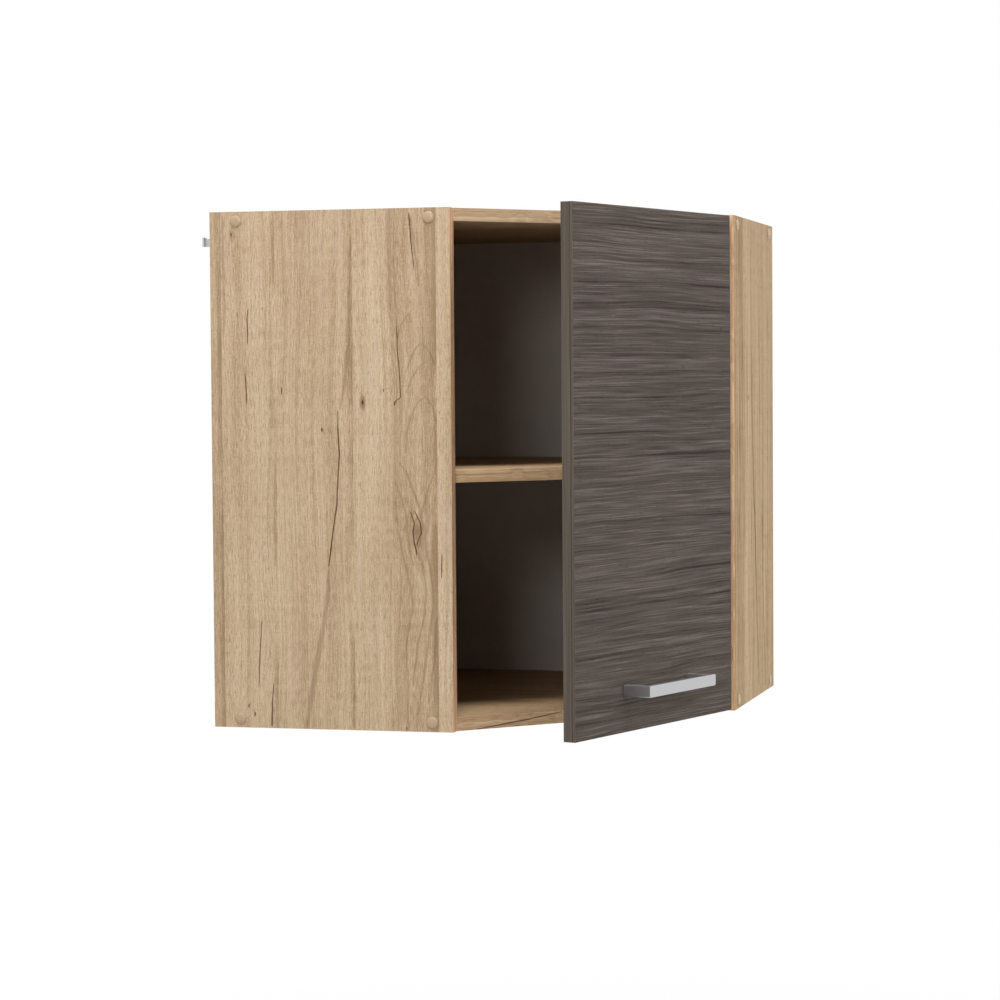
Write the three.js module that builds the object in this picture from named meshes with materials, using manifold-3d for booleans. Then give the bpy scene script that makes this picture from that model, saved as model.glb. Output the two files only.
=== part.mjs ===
// Corner wall cabinet with a diagonal front: two side panels, five-sided top, bottom and shelf,
// back panels in grooves, and one door on concealed 45 degree hinges, drawn ajar.
// Frame: origin at the middle of the square footprint, on the underside. The walls are the
// planes x = -WIDTH / 2 and y = WIDTH / 2, and the diagonal front faces +x -y. +z is up.
import * as THREE from "three";
import { mergeVertices } from "three/addons/utils/BufferGeometryUtils.js";
import Module from "manifold-3d";

const wasm = await Module();
wasm.setup();

// ---- Driving dimensions, millimetres and degrees ----
const WIDTH = 600; // along each wall
const HEIGHT = 635;
const SIDE_DEPTH = 307; // from the wall to the side panel's front edge
const BOARD = 16; // thickness of the case boards
const FIT = 0.3; // gap between pieces that touch

const BACK_THICKNESS = 3;
const BACK_INSET = 8; // from the wall to the back panel
const GROOVE_DEPTH = 6;

const POST_SIZE = 30; // rear corner post, square
const TENON_RADIUS = 5;
const TENON_LENGTH = 9;

const SHELF_TOP = 318;
const SHELF_SETBACK = 12; // behind the case's front edge
const SHELF_SIDE_GAP = 1;
const SHELF_BACK_GAP = 2;
const SHELF_LIFT_PITCH = 32; // between the rows of pin holes
const PIN_RADIUS = 2.5;
const PIN_HEAD_RADIUS = 3.5;
const PIN_SEAT = 9; // length of the pin in the side panel
const PIN_REACH = 9; // length of the pin under the shelf
const PIN_FRONT = 45; // pin holes from the side panel's front edge
const PIN_REAR = 62; // pin holes from the wall

const FIX_EDGE = 11.5; // case screw's axis from the top or bottom
const FIX_FRONT = 27; // from the side panel's front edge
const FIX_REAR = 34; // from the wall
const SCREW_HEAD_RADIUS = 5;
const SCREW_HEAD_DEPTH = 4.5;
const SCREW_SHANK_RADIUS = 3.2;
const SCREW_LENGTH = 50;
const SOCKET_RADIUS = 2.3; // hexagon socket, centre to corner
const SOCKET_DEPTH = 2.6;
const CAP_RADIUS = 7.2;
const CAP_RISE = 1.9;
const CAP_STEM_RADIUS = 1.7;
const CAP_STEM_LENGTH = 2.6;
const CAP_RIM = 0.6; // height of the cap's straight edge

const DOOR_THICKNESS = 16;
const DOOR_TOP_GAP = 1.4;
const DOOR_BOTTOM_GAP = 2.1;
const DOOR_HINGE_GAP = 3; // door edge to the side panel's inner corner
const DOOR_FREE_GAP = 4.1;
const DOOR_BACK_GAP = 4; // behind the closed door
const AJAR = 26.84; // how far the door is drawn open

const HANDLE_LENGTH = 163;
const HANDLE_HEIGHT = 14;
const HANDLE_REACH = 37.5;
const HANDLE_BAR = 8;
const HANDLE_LEG = 10;
const HANDLE_BEVEL = 0.8;
const HANDLE_CENTRE = 51; // above the door's lower edge
const HANDLE_SCREW_RADIUS = 2;
const HANDLE_SCREW_HEAD = 4;
const HANDLE_SCREW_HEAD_HEIGHT = 2.4;
const HANDLE_SCREW_DEPTH = 12; // into the leg

const HINGE_INSET = 98; // hinge's middle from the door's top or bottom edge
const CUP_RADIUS = 17.2;
const CUP_CENTRE = 22.5; // from the door's edge
const CUP_DEPTH = 12.7;
const CUP_WALL = 1;
const CUP_SIDES = 24; // facets round the cup and its bore
const CUP_FLOOR = 0.6;
const CUP_RIM = 2; // beyond the cup's wall
const CUP_EAR_RADIUS = 5.5;
const FLANGE_THICKNESS = 1.2;
const CUP_SCREW_SPREAD = 22.5; // each side of the hinge's middle
const CUP_SCREW_SETBACK = 9.5; // behind the cup's centre
const PLATE_SCREW_SPREAD = 16;
const PLATE_CENTRE = 37; // from the side panel's front edge
const PLATE_LENGTH = 36;
const PLATE_HEIGHT = 46;
const PLATE_THICKNESS = 2;
const PLATE_BLOCK_INSET = 4; // from the plate's front and rear to the block on it
const WOOD_SCREW_RADIUS = 1.7;
const WOOD_SCREW_HEAD = 3.5;
const WOOD_SCREW_HEAD_HEIGHT = 2;
const WOOD_SCREW_LENGTH = 11;
const LINK_HEIGHT = 7.6; // each link's height; the two lie one above the other
const LINK_FLOOR = 0.2; // from the hinge's middle to each link
const LINK_WIDTH = 2.4;
const LINK_EYE = 2.3;
const HINGE_PIN_RADIUS = 1;
const RUNNING = 0.12; // radial clearance of a pivot
const OPEN_PIVOT = 0.5; // radial clearance of the loose pivot in the cup
const EAR = 1.6; // thickness of the arm's sheet
const ARM_RISE = 11; // the arm's back above the side panel
const ARM_LENGTH = 40;
// Pivots on the arm: [behind the side panel's front edge, out from its inner face]
const OUTER_ARM_PIVOT = [15.3, 4.7];
const INNER_ARM_PIVOT = [5.4, 2.6];
// Pivots in the cup: [from the door's edge, below the door's back face]
const OUTER_CUP_PIVOT = [12.4, 7.9];
const INNER_CUP_PIVOT = [17.6, 9.6];
// Share of the door's turn that each link makes
const OUTER_SHARE = 0.259;
const INNER_SHARE = 0.475;
// Bends of each link when closed, from the side panel's inner front corner: along and behind the front
const OUTER_BENDS = [[-8, 11], [-19, 6.4], [-23, 2.6], [-24.6, -4.5], [-22.4, -10.4]];
const INNER_BENDS = [[-12, 10.4], [-20.6, 8.6], [-25.5, 3.6], [-26.6, -2.6], [-25, -9]];

const BUMPER_RADIUS = 5;
const BUMPER_INSET = 20; // from the door's free edge
const TAPER = 0.75; // top of a screw head or bumper against its foot

const HANGER_DROP = 8; // housing's top below the top panel
const HANGER_HEIGHT = 56;
const HANGER_DEPTH = 42;
const HANGER_WIDTH = 17;
const SPIGOT_RADIUS = 5;
const SPIGOT_LENGTH = 9;
const SPIGOT_INSET = 12; // from the housing's top and bottom
const CLAW_THICKNESS = 2.5;
const CLAW_BOTTOM = 41; // below the top of the cabinet
const CLAW_HEIGHT = 10.6;
const CLAW_REACH = 17; // beyond the wall plane
const CLAW_TIP_RISE = 0.9; // tip above the claw's upper edge
const CLAW_NOTCH = [5.5, 8, 2]; // end and start of the notch behind the tip's face, and its depth
const CLAW_TAIL = 22; // inside the housing
const CLAW_TRAVEL = 12; // that the adjuster draws it in
const CLAW_FLANGE_WIDTH = 10;
const NOTCH_MARGIN = 3; // round the claw, in the back panel
const ADJUSTER_RADIUS = 3;
const ADJUSTER_LENGTH = 18;
const ADJUSTER_DROP = 16; // below the claw
const ADJUSTER_SLOT = 1;

// ---- Sizes that follow ----
const HALF = WIDTH / 2;
const INNER = HALF - BOARD; // inner face of each side panel from the middle
const FRONT = SIDE_DEPTH - HALF; // the left side panel's front edge
const OPENING = (INNER - FRONT) * Math.SQRT2; // width of the diagonal front
const DOOR_WIDTH = OPENING - DOOR_HINGE_GAP - DOOR_FREE_GAP;
const DOOR_TOP = HEIGHT - DOOR_TOP_GAP;
const BACK_FACE = HALF - BACK_INSET - BACK_THICKNESS; // inner face of each back panel
const SHELF_BOTTOM = SHELF_TOP - BOARD;
const HINGE_HEIGHTS = { lower: DOOR_BOTTOM_GAP + HINGE_INSET, upper: DOOR_TOP - HINGE_INSET };
const EAR_INNER = LINK_FLOOR + LINK_HEIGHT + FIT;
const QUARTER = Math.PI / 2;
const EIGHTH = Math.PI / 4;
const ajar = THREE.MathUtils.degToRad(AJAR);
const PAST = 1; // how far a cutting tool runs past a face
const WELD = 1e-4; // corners closer than this are one
const HEX = 6;
const FEW_SIDES = 8; // facets of small rods
const ROD_SIDES = 12;
const MANY_SIDES = 16;

// ---- Finishes ----
const finish = (color, roughness, metalness) =>
  new THREE.MeshStandardMaterial({ color, roughness, metalness });
const OAK = finish(0xc9b08f, 0.6, 0);
const GREY_WOOD = finish(0x675d58, 0.55, 0);
const WHITE_BOARD = finish(0xe6e4e0, 0.6, 0);
const SATIN_METAL = finish(0xbcbcbc, 0.35, 0.9);
const STEEL = finish(0xa8a9a8, 0.35, 1);
const ZINC = finish(0xc3c2bb, 0.4, 1);
const OAK_PLASTIC = finish(0xc4a478, 0.5, 0);
const WHITE_PLASTIC = finish(0xe9e8e4, 0.45, 0);
const CLEAR_RUBBER = finish(0xd5d5d0, 0.3, 0);

// ---- Solids ----
function solid(geometry) {
  const plain = geometry.index ? geometry.toNonIndexed() : geometry.clone();
  plain.deleteAttribute("normal");
  plain.deleteAttribute("uv");
  const merged = mergeVertices(plain, WELD);
  const mesh = new wasm.Mesh({
    numProp: 3,
    vertProperties: merged.attributes.position.array,
    triVerts: new Uint32Array(merged.index.array),
  });
  return new wasm.Manifold(mesh);
}

function geometryOf(manifold) {
  const mesh = manifold.getMesh();
  const geometry = new THREE.BufferGeometry();
  geometry.setAttribute("position", new THREE.BufferAttribute(mesh.vertProperties, 3));
  geometry.setIndex(new THREE.BufferAttribute(mesh.triVerts, 1));
  return geometry;
}

// A block between two values on each axis.
function block([x0, x1], [y0, y1], [z0, z1]) {
  const geometry = new THREE.BoxGeometry(x1 - x0, y1 - y0, z1 - z0);
  geometry.translate((x0 + x1) / 2, (y0 + y1) / 2, (z0 + z1) / 2);
  return solid(geometry);
}

// An outline in plan, raised between two heights.
function prism(points, [z0, z1]) {
  const shape = new THREE.Shape(points.map(([x, y]) => new THREE.Vector2(x, y)));
  const geometry = new THREE.ExtrudeGeometry(shape, { depth: z1 - z0, bevelEnabled: false });
  geometry.translate(0, 0, z0);
  return solid(geometry);
}

// A round rod along one axis, from one value to the other on it; a and b are its place on the two
// other axes, in x, y, z order. endRadius makes a cone.
function rod(axis, radius, [start, end], a, b, sides = ROD_SIDES, endRadius = radius) {
  const geometry = new THREE.CylinderGeometry(endRadius, radius, end - start, sides);
  geometry.translate(0, (start + end) / 2, 0);
  if (axis === "x") {
    geometry.rotateZ(-QUARTER);
    geometry.translate(0, a, b);
  }
  if (axis === "y") {
    geometry.translate(a, 0, b);
  }
  if (axis === "z") {
    geometry.rotateX(QUARTER);
    geometry.translate(a, b, 0);
  }
  return solid(geometry);
}

const join = (...parts) => parts.reduce((whole, part) => whole.add(part));
const cut = (whole, ...tools) => tools.reduce((left, tool) => left.subtract(tool), whole);

function add(group, name, shape, material) {
  const mesh = new THREE.Mesh(geometryOf(shape), material);
  mesh.name = name;
  group.add(mesh);
}

function frame(parent, [x, y], turn) {
  const group = new THREE.Group();
  group.position.set(x, y, 0);
  group.rotation.z = turn;
  parent.add(group);
  return group;
}

// ---- The case ----
// The case is the same on both sides of the diagonal through the room's corner. The left side is
// drawn; the right side is drawn in a group that mirrors x, y to -y, -x.
const cabinet = new THREE.Group();
const mirror = new THREE.Group();
mirror.rotation.z = QUARTER;
mirror.scale.x = -1;
cabinet.add(mirror);
const sides = { left: cabinet, right: mirror };

const fixPlaces = { front: FRONT - FIX_FRONT, rear: FIX_REAR - HALF };
const fixLevels = { top: HEIGHT - FIX_EDGE, bottom: FIX_EDGE };
const pinPlaces = { front: FRONT - PIN_FRONT, rear: PIN_REAR - HALF };
const pinLevel = SHELF_BOTTOM - FIT - PIN_HEAD_RADIUS;
const grooveSpan = [BACK_INSET - FIT - HALF, BACK_INSET + BACK_THICKNESS + FIT - HALF];
const hanger = hangerPlace();

function hangerPlace() {
  const rear = FIT - BACK_FACE;
  const top = HEIGHT - BOARD - HANGER_DROP;
  return {
    rear,
    front: rear + HANGER_DEPTH,
    side: FIT - INNER,
    middle: FIT - INNER + HANGER_WIDTH / 2,
    top,
    bottom: top - HANGER_HEIGHT,
    spigotX: rear + HANGER_DEPTH / 2,
    spigots: [top - SPIGOT_INSET, top - HANGER_HEIGHT + SPIGOT_INSET],
    claw: HEIGHT - CLAW_BOTTOM,
  };
}

function caseScrewHole(x, z) {
  const shank = rod("y", SCREW_SHANK_RADIUS + FIT, [-HALF - PAST, PAST - INNER], x, z);
  const headEnd = FIT + SCREW_HEAD_DEPTH + FIT - HALF;
  const head = rod("y", SCREW_HEAD_RADIUS + FIT, [-HALF - PAST, headEnd], x, z);
  return join(shank, head);
}

function pinHole(x, row) {
  const level = pinLevel + row * SHELF_LIFT_PITCH;
  return rod("y", PIN_RADIUS + FIT, [-INNER - PIN_SEAT - FIT, PAST - INNER], x, level);
}

function plateScrewHole(level, way) {
  const z = level + way * PLATE_SCREW_SPREAD;
  const span = [-INNER - WOOD_SCREW_LENGTH - FIT, PAST - INNER];
  return rod("y", WOOD_SCREW_RADIUS + FIT, span, FRONT - PLATE_CENTRE, z);
}

function sidePanel(hinged) {
  const board = block([-HALF, FRONT], [-HALF, -INNER], [0, HEIGHT]);
  const groove = block(grooveSpan, [-INNER - GROOVE_DEPTH, PAST - INNER], [-PAST, HEIGHT + PAST]);
  const holes = [];
  for (const x of Object.values(fixPlaces)) {
    for (const z of Object.values(fixLevels)) {
      holes.push(caseScrewHole(x, z));
    }
  }
  for (const x of Object.values(pinPlaces)) {
    for (const row of [-1, 0, 1]) {
      holes.push(pinHole(x, row));
    }
  }
  for (const z of hanger.spigots) {
    const span = [-INNER - SPIGOT_LENGTH - FIT, PAST - INNER];
    holes.push(rod("y", SPIGOT_RADIUS + FIT, span, hanger.spigotX, z));
  }
  if (hinged) {
    for (const level of Object.values(HINGE_HEIGHTS)) {
      holes.push(plateScrewHole(level, -1), plateScrewHole(level, 1));
    }
  }
  return cut(board, groove, ...holes);
}

// Screw holes in the edges of the top and bottom panels, from both side panels.
function edgeHoles(z) {
  const radius = SCREW_SHANK_RADIUS + FIT;
  const holes = [];
  for (const place of Object.values(fixPlaces)) {
    holes.push(rod("y", radius, [-INNER, SCREW_LENGTH + FIT - HALF + PAST], place, z));
    holes.push(rod("x", radius, [HALF - SCREW_LENGTH - FIT - PAST, INNER], -place, z));
  }
  return holes;
}

// A five-sided panel. Its inner face, towards the middle of the cabinet, holds the grooves for the
// back panels and the socket for the corner post.
function fiveSidedPanel([z0, z1], inward, screwLevel) {
  const near = -INNER + FIT;
  const board = prism(
    [[-HALF, near], [FRONT + FIT, near], [-near, -FRONT - FIT], [-near, HALF], [-HALF, HALF]],
    [z0, z1],
  );
  const face = inward > 0 ? z1 : z0;
  const grooveLevels = [face - inward * GROOVE_DEPTH, face + inward * PAST].sort((a, b) => a - b);
  const leftGroove = block(grooveSpan, [near - PAST, BACK_FACE + BACK_THICKNESS + FIT], grooveLevels);
  const mirroredSpan = [-grooveSpan[1], -grooveSpan[0]];
  const rearGroove = block([-BACK_FACE - BACK_THICKNESS - FIT, PAST - near], mirroredSpan, grooveLevels);
  const post = POST_SIZE / 2 - HALF;
  const socketEnd = face - inward * (TENON_LENGTH + FIT);
  const socketLevels = [socketEnd, face + inward * PAST].sort((a, b) => a - b);
  const socket = rod("z", TENON_RADIUS + FIT, socketLevels, post, -post);
  return cut(board, leftGroove, rearGroove, socket, ...edgeHoles(screwLevel));
}

function backPanel() {
  const reach = POST_SIZE - GROOVE_DEPTH + FIT;
  const span = [-INNER - GROOVE_DEPTH + FIT, HALF - reach];
  const levels = [BOARD - GROOVE_DEPTH + FIT, HEIGHT - BOARD + GROOVE_DEPTH - FIT];
  const sheet = block([-BACK_FACE - BACK_THICKNESS, -BACK_FACE], span, levels);
  const clawLevels = [hanger.claw - NOTCH_MARGIN, hanger.claw + CLAW_HEIGHT + NOTCH_MARGIN];
  const notchEnd = hanger.middle + CLAW_THICKNESS / 2 + NOTCH_MARGIN;
  const notch = block([-HALF, -BACK_FACE + PAST], [-HALF, notchEnd], clawLevels);
  return cut(sheet, notch);
}

function cornerPost() {
  const near = POST_SIZE - HALF;
  const levels = [BOARD + FIT, HEIGHT - BOARD - FIT];
  const batten = block([-HALF, near], [-near, HALF], levels);
  const past = [-PAST, HEIGHT + PAST];
  const leftGroove = block(grooveSpan, [-near - PAST, -near + GROOVE_DEPTH], past);
  const mirroredSpan = [-grooveSpan[1], -grooveSpan[0]];
  const rearGroove = block([near - GROOVE_DEPTH, near + PAST], mirroredSpan, past);
  const middle = POST_SIZE / 2 - HALF;
  const tenonLevels = [levels[0] - TENON_LENGTH, levels[1] + TENON_LENGTH];
  const tenons = rod("z", TENON_RADIUS, tenonLevels, middle, -middle);
  return join(cut(batten, leftGroove, rearGroove), tenons);
}

function caseScrew(x, z) {
  const headStart = FIT - HALF;
  const headEnd = headStart + SCREW_HEAD_DEPTH;
  const head = rod("y", SCREW_HEAD_RADIUS, [headStart, headEnd], x, z);
  const shank = rod("y", SCREW_SHANK_RADIUS, [headStart + PAST, SCREW_LENGTH - HALF], x, z);
  const socket = rod("y", SOCKET_RADIUS, [headStart - PAST, headStart + SOCKET_DEPTH], x, z, HEX);
  return cut(join(head, shank), socket);
}

// A domed cap on the side panel's outer face, with a stem in the screw's socket.
function coverCap(x, z) {
  const steps = 3;
  const profile = [
    new THREE.Vector2(0, -CAP_STEM_LENGTH),
    new THREE.Vector2(CAP_STEM_RADIUS, -CAP_STEM_LENGTH),
    new THREE.Vector2(CAP_STEM_RADIUS, 0),
    new THREE.Vector2(CAP_RADIUS, 0),
  ];
  for (let i = 0; i <= steps; i += 1) {
    const turn = (QUARTER * i) / steps;
    const rise = CAP_RIM + (CAP_RISE - CAP_RIM) * Math.sin(turn);
    profile.push(new THREE.Vector2(i === steps ? 0 : CAP_RADIUS * Math.cos(turn), rise));
  }
  const geometry = new THREE.LatheGeometry(profile, MANY_SIDES);
  geometry.rotateZ(Math.PI);
  geometry.translate(x, -HALF - FIT, z);
  return solid(geometry);
}

function shelfPin(x) {
  const seat = rod("y", PIN_RADIUS, [-INNER - PIN_SEAT, -INNER + FIT + PAST], x, pinLevel);
  const head = rod("y", PIN_HEAD_RADIUS, [-INNER + FIT, -INNER + PIN_REACH], x, pinLevel);
  return join(seat, head);
}

function shelfBoard() {
  const side = -INNER + SHELF_SIDE_GAP;
  const rear = -BACK_FACE + SHELF_BACK_GAP;
  const corner = POST_SIZE - HALF + SHELF_BACK_GAP;
  const front = FRONT + SHELF_SIDE_GAP - SHELF_SETBACK * Math.SQRT2;
  return prism(
    [
      [rear, side],
      [front, side],
      [-side, -front],
      [-side, -rear],
      [corner, -rear],
      [corner, -corner],
      [rear, -corner],
    ],
    [SHELF_BOTTOM, SHELF_TOP],
  );
}

for (const [side, group] of Object.entries(sides)) {
  add(group, `side_panel_${side}`, sidePanel(side === "right"), OAK);
  add(group, `back_panel_${side}`, backPanel(), WHITE_BOARD);
  for (const [place, x] of Object.entries(fixPlaces)) {
    for (const [level, z] of Object.entries(fixLevels)) {
      add(group, `case_screw_${side}_${place}_${level}`, caseScrew(x, z), STEEL);
      add(group, `cover_cap_${side}_${place}_${level}`, coverCap(x, z), OAK_PLASTIC);
    }
  }
  for (const [place, x] of Object.entries(pinPlaces)) {
    add(group, `shelf_pin_${side}_${place}`, shelfPin(x), STEEL);
  }
}
add(cabinet, "top_panel", fiveSidedPanel([HEIGHT - BOARD, HEIGHT], -1, fixLevels.top), OAK);
add(cabinet, "bottom_panel", fiveSidedPanel([0, BOARD], 1, fixLevels.bottom), OAK);
add(cabinet, "corner_post", cornerPost(), WHITE_BOARD);
add(cabinet, "shelf", shelfBoard(), OAK);

// ---- The hangers, at the top of each side panel's rear ----
function hangerHousing() {
  const { rear, front, side, middle, top, bottom, spigotX, spigots, claw } = hanger;
  const body = block([rear, front], [side, side + HANGER_WIDTH], [bottom, top]);
  const studs = spigots.map((z) =>
    rod("y", SPIGOT_RADIUS, [-INNER - SPIGOT_LENGTH, side + PAST], spigotX, z),
  );
  const play = CLAW_THICKNESS / 2 + FIT;
  const slotEnd = rear + CLAW_TAIL + CLAW_TRAVEL + FIT;
  const slotLevels = [claw - FIT, claw + CLAW_HEIGHT + FIT];
  const slot = block([rear - PAST, slotEnd], [middle - play, middle + play], slotLevels);
  const boreEnd = front - ADJUSTER_LENGTH - FIT;
  const bore = rod("x", ADJUSTER_RADIUS + FIT, [boreEnd, front + PAST], middle, claw - ADJUSTER_DROP);
  return cut(join(body, ...studs), slot, bore);
}

function hangerClaw() {
  const { rear, middle, claw } = hanger;
  const tip = -HALF - CLAW_REACH;
  const [notchEnd, notchStart, notchDepth] = CLAW_NOTCH;
  const upper = claw + CLAW_HEIGHT;
  const tipTop = upper + CLAW_TIP_RISE;
  const shape = new THREE.Shape();
  shape.moveTo(tip, claw);
  shape.lineTo(rear + CLAW_TAIL, claw);
  shape.lineTo(rear + CLAW_TAIL, upper);
  shape.lineTo(tip + notchStart, upper);
  shape.lineTo(tip + notchEnd, upper - notchDepth);
  shape.lineTo(tip + CLAW_THICKNESS, tipTop);
  shape.lineTo(tip, tipTop);
  const geometry = new THREE.ExtrudeGeometry(shape, { depth: CLAW_THICKNESS, bevelEnabled: false });
  geometry.rotateX(QUARTER);
  geometry.translate(0, middle + CLAW_THICKNESS / 2, 0);
  const flangeSpan = [middle - CLAW_FLANGE_WIDTH / 2, middle + CLAW_FLANGE_WIDTH / 2];
  const flange = block([tip, tip + CLAW_THICKNESS], flangeSpan, [claw, tipTop]);
  return join(solid(geometry), flange);
}

function hangerAdjuster() {
  const { front, middle, claw } = hanger;
  const level = claw - ADJUSTER_DROP;
  const screw = rod("x", ADJUSTER_RADIUS, [front - ADJUSTER_LENGTH, front + PAST], middle, level);
  const span = [middle - ADJUSTER_RADIUS, middle + ADJUSTER_RADIUS];
  const slotLevels = [level - ADJUSTER_SLOT / 2, level + ADJUSTER_SLOT / 2];
  const slot = block([front, front + 2 * PAST], span, slotLevels);
  return cut(screw, slot);
}

for (const [side, group] of Object.entries(sides)) {
  add(group, `hanger_housing_${side}`, hangerHousing(), WHITE_PLASTIC);
  add(group, `hanger_claw_${side}`, hangerClaw(), STEEL);
  add(group, `hanger_adjuster_${side}`, hangerAdjuster(), ZINC);
}

// ---- The door and its hinges ----
// In the front frame, x runs along the diagonal to the hinge side, y runs into the cabinet, and
// the origin is the right side panel's inner front corner.
const frontFrame = frame(cabinet, [INNER, -FRONT], EIGHTH);
const armFrame = frame(frontFrame, [0, 0], EIGHTH); // x behind the front edge, y out from the panel
const fromPanel = ([s, t]) => [(s - t) / Math.SQRT2, (s + t) / Math.SQRT2];
const fromDoor = ([e, h]) => [-DOOR_HINGE_GAP - e, -DOOR_BACK_GAP - h];
const minus = ([x, y], [u, v]) => [x - u, y - v];
const outerArmPivot = fromPanel(OUTER_ARM_PIVOT);
const innerArmPivot = fromPanel(INNER_ARM_PIVOT);
const outerCupPivot = fromDoor(OUTER_CUP_PIVOT);
const innerCupPivot = fromDoor(INNER_CUP_PIVOT);
const outerSwing = frame(frontFrame, outerArmPivot, OUTER_SHARE * ajar);
const innerSwing = frame(frontFrame, innerArmPivot, INNER_SHARE * ajar);
const doorSwing = frame(outerSwing, minus(outerCupPivot, outerArmPivot), (1 - OUTER_SHARE) * ajar);
// In the door's frame, x = 0 is its hinge edge, and y = 0 is its back face.
const doorFrame = frame(doorSwing, minus(fromDoor([0, 0]), outerCupPivot), 0);
const handleX = -DOOR_WIDTH / 2;
const handleZ = DOOR_BOTTOM_GAP + HANDLE_CENTRE;
const handleLegs = [handleX - (HANDLE_LENGTH - HANDLE_LEG) / 2, handleX + (HANDLE_LENGTH - HANDLE_LEG) / 2];

// A strip of constant width along points in plan, with round ends.
function strip(points, width, levels) {
  const parts = points.map(([x, y]) => rod("z", width / 2, levels, x, y, FEW_SIDES));
  points.slice(1).forEach(([x1, y1], i) => {
    const [x0, y0] = points[i];
    const length = Math.hypot(x1 - x0, y1 - y0);
    const nx = ((y0 - y1) / length) * (width / 2);
    const ny = ((x1 - x0) / length) * (width / 2);
    const corners = [[x0 - nx, y0 - ny], [x1 - nx, y1 - ny], [x1 + nx, y1 + ny], [x0 + nx, y0 + ny]];
    parts.push(prism(corners, levels));
  });
  return join(...parts);
}

function link(armPivot, bends, cupPivot, cupClearance, levels) {
  const points = [armPivot, ...bends, cupPivot].map((point) => minus(point, armPivot));
  const end = points[points.length - 1];
  const past = [levels[0] - PAST, levels[1] + PAST];
  const eyes = [rod("z", LINK_EYE, levels, 0, 0), rod("z", LINK_EYE, levels, ...end)];
  const armHole = rod("z", HINGE_PIN_RADIUS + RUNNING, past, 0, 0, MANY_SIDES);
  const cupHole = rod("z", HINGE_PIN_RADIUS + cupClearance, past, ...end, MANY_SIDES);
  return cut(join(strip(points, LINK_WIDTH, levels), ...eyes), armHole, cupHole);
}

function cupPin([edge, depth], level) {
  const hollow = CUP_RADIUS - CUP_WALL / 2;
  const reach = Math.sqrt(hollow ** 2 - (edge - CUP_CENTRE) ** 2);
  return rod("z", HINGE_PIN_RADIUS, [level - reach, level + reach], -edge, -depth);
}

function cupScrewPlaces(level) {
  const x = -CUP_CENTRE - CUP_SCREW_SETBACK;
  return { low: [x, level - CUP_SCREW_SPREAD], high: [x, level + CUP_SCREW_SPREAD] };
}

function hingeCup(level) {
  const sheet = [FIT, FIT + FLANGE_THICKNESS];
  const places = Object.values(cupScrewPlaces(level));
  const shell = rod("y", CUP_RADIUS, [-CUP_DEPTH, sheet[1]], -CUP_CENTRE, level, CUP_SIDES);
  const rim = rod("y", CUP_RADIUS + CUP_RIM, sheet, -CUP_CENTRE, level, CUP_SIDES);
  const ears = places.map(([x, z]) => rod("y", CUP_EAR_RADIUS, sheet, x, z));
  const [x, low] = places[0];
  const bridge = block([x - CUP_EAR_RADIUS, x + CUP_EAR_RADIUS], sheet, [low, places[1][1]]);
  const hollowSpan = [CUP_FLOOR - CUP_DEPTH, sheet[1] + PAST];
  const hollow = rod("y", CUP_RADIUS - CUP_WALL, hollowSpan, -CUP_CENTRE, level, CUP_SIDES);
  const holes = places.map(([hx, hz]) =>
    rod("y", WOOD_SCREW_RADIUS + FIT, [0, sheet[1] + PAST], hx, hz),
  );
  const open = cut(join(shell, rim, bridge, ...ears), hollow, ...holes);
  return join(open, cupPin(OUTER_CUP_PIVOT, level), cupPin(INNER_CUP_PIVOT, level));
}

// A pan-headed screw along y, its head's underside at seat and its point towards -y.
function woodScrew(x, z, seat) {
  const top = seat + WOOD_SCREW_HEAD_HEIGHT;
  const head = rod("y", WOOD_SCREW_HEAD, [seat, top], x, z, ROD_SIDES, WOOD_SCREW_HEAD * TAPER);
  const shankSpan = [-WOOD_SCREW_LENGTH, (seat + top) / 2];
  const shank = rod("y", WOOD_SCREW_RADIUS, shankSpan, x, z, FEW_SIDES);
  return join(head, shank);
}

function hingeArm(level) {
  const start = PLATE_CENTRE - PLATE_LENGTH / 2;
  const span = [start, start + ARM_LENGTH];
  const foot = FIT + PLATE_THICKNESS + FIT;
  const outside = EAR_INNER + EAR;
  const back = block(span, [ARM_RISE - EAR, ARM_RISE], [level - outside, level + outside]);
  const parts = [back];
  for (const way of [-1, 1]) {
    const levels = [level + way * EAR_INNER, level + way * outside].sort((a, b) => a - b);
    const heel = [start + LINK_EYE, foot + LINK_EYE];
    const nose = strip([INNER_ARM_PIVOT, OUTER_ARM_PIVOT, heel], 2 * LINK_EYE - FIT, levels);
    parts.push(block(span, [foot, ARM_RISE], levels), nose);
  }
  for (const pivot of [OUTER_ARM_PIVOT, INNER_ARM_PIVOT]) {
    const reach = outside - EAR / 2;
    parts.push(rod("z", HINGE_PIN_RADIUS, [level - reach, level + reach], ...pivot));
  }
  return join(...parts);
}

function mountingPlate(level) {
  const span = [PLATE_CENTRE - PLATE_LENGTH / 2, PLATE_CENTRE + PLATE_LENGTH / 2];
  const sheet = [FIT, FIT + PLATE_THICKNESS];
  const base = block(span, sheet, [level - PLATE_HEIGHT / 2, level + PLATE_HEIGHT / 2]);
  const riser = block(
    [span[0] + PLATE_BLOCK_INSET, span[1] - PLATE_BLOCK_INSET],
    [FIT, ARM_RISE - EAR - FIT],
    [level - EAR_INNER + FIT, level + EAR_INNER - FIT],
  );
  const holes = [-1, 1].map((way) => {
    const z = level + way * PLATE_SCREW_SPREAD;
    return rod("y", WOOD_SCREW_RADIUS + FIT, [0, sheet[1] + PAST], PLATE_CENTRE, z);
  });
  return cut(join(base, riser), ...holes);
}

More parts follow.
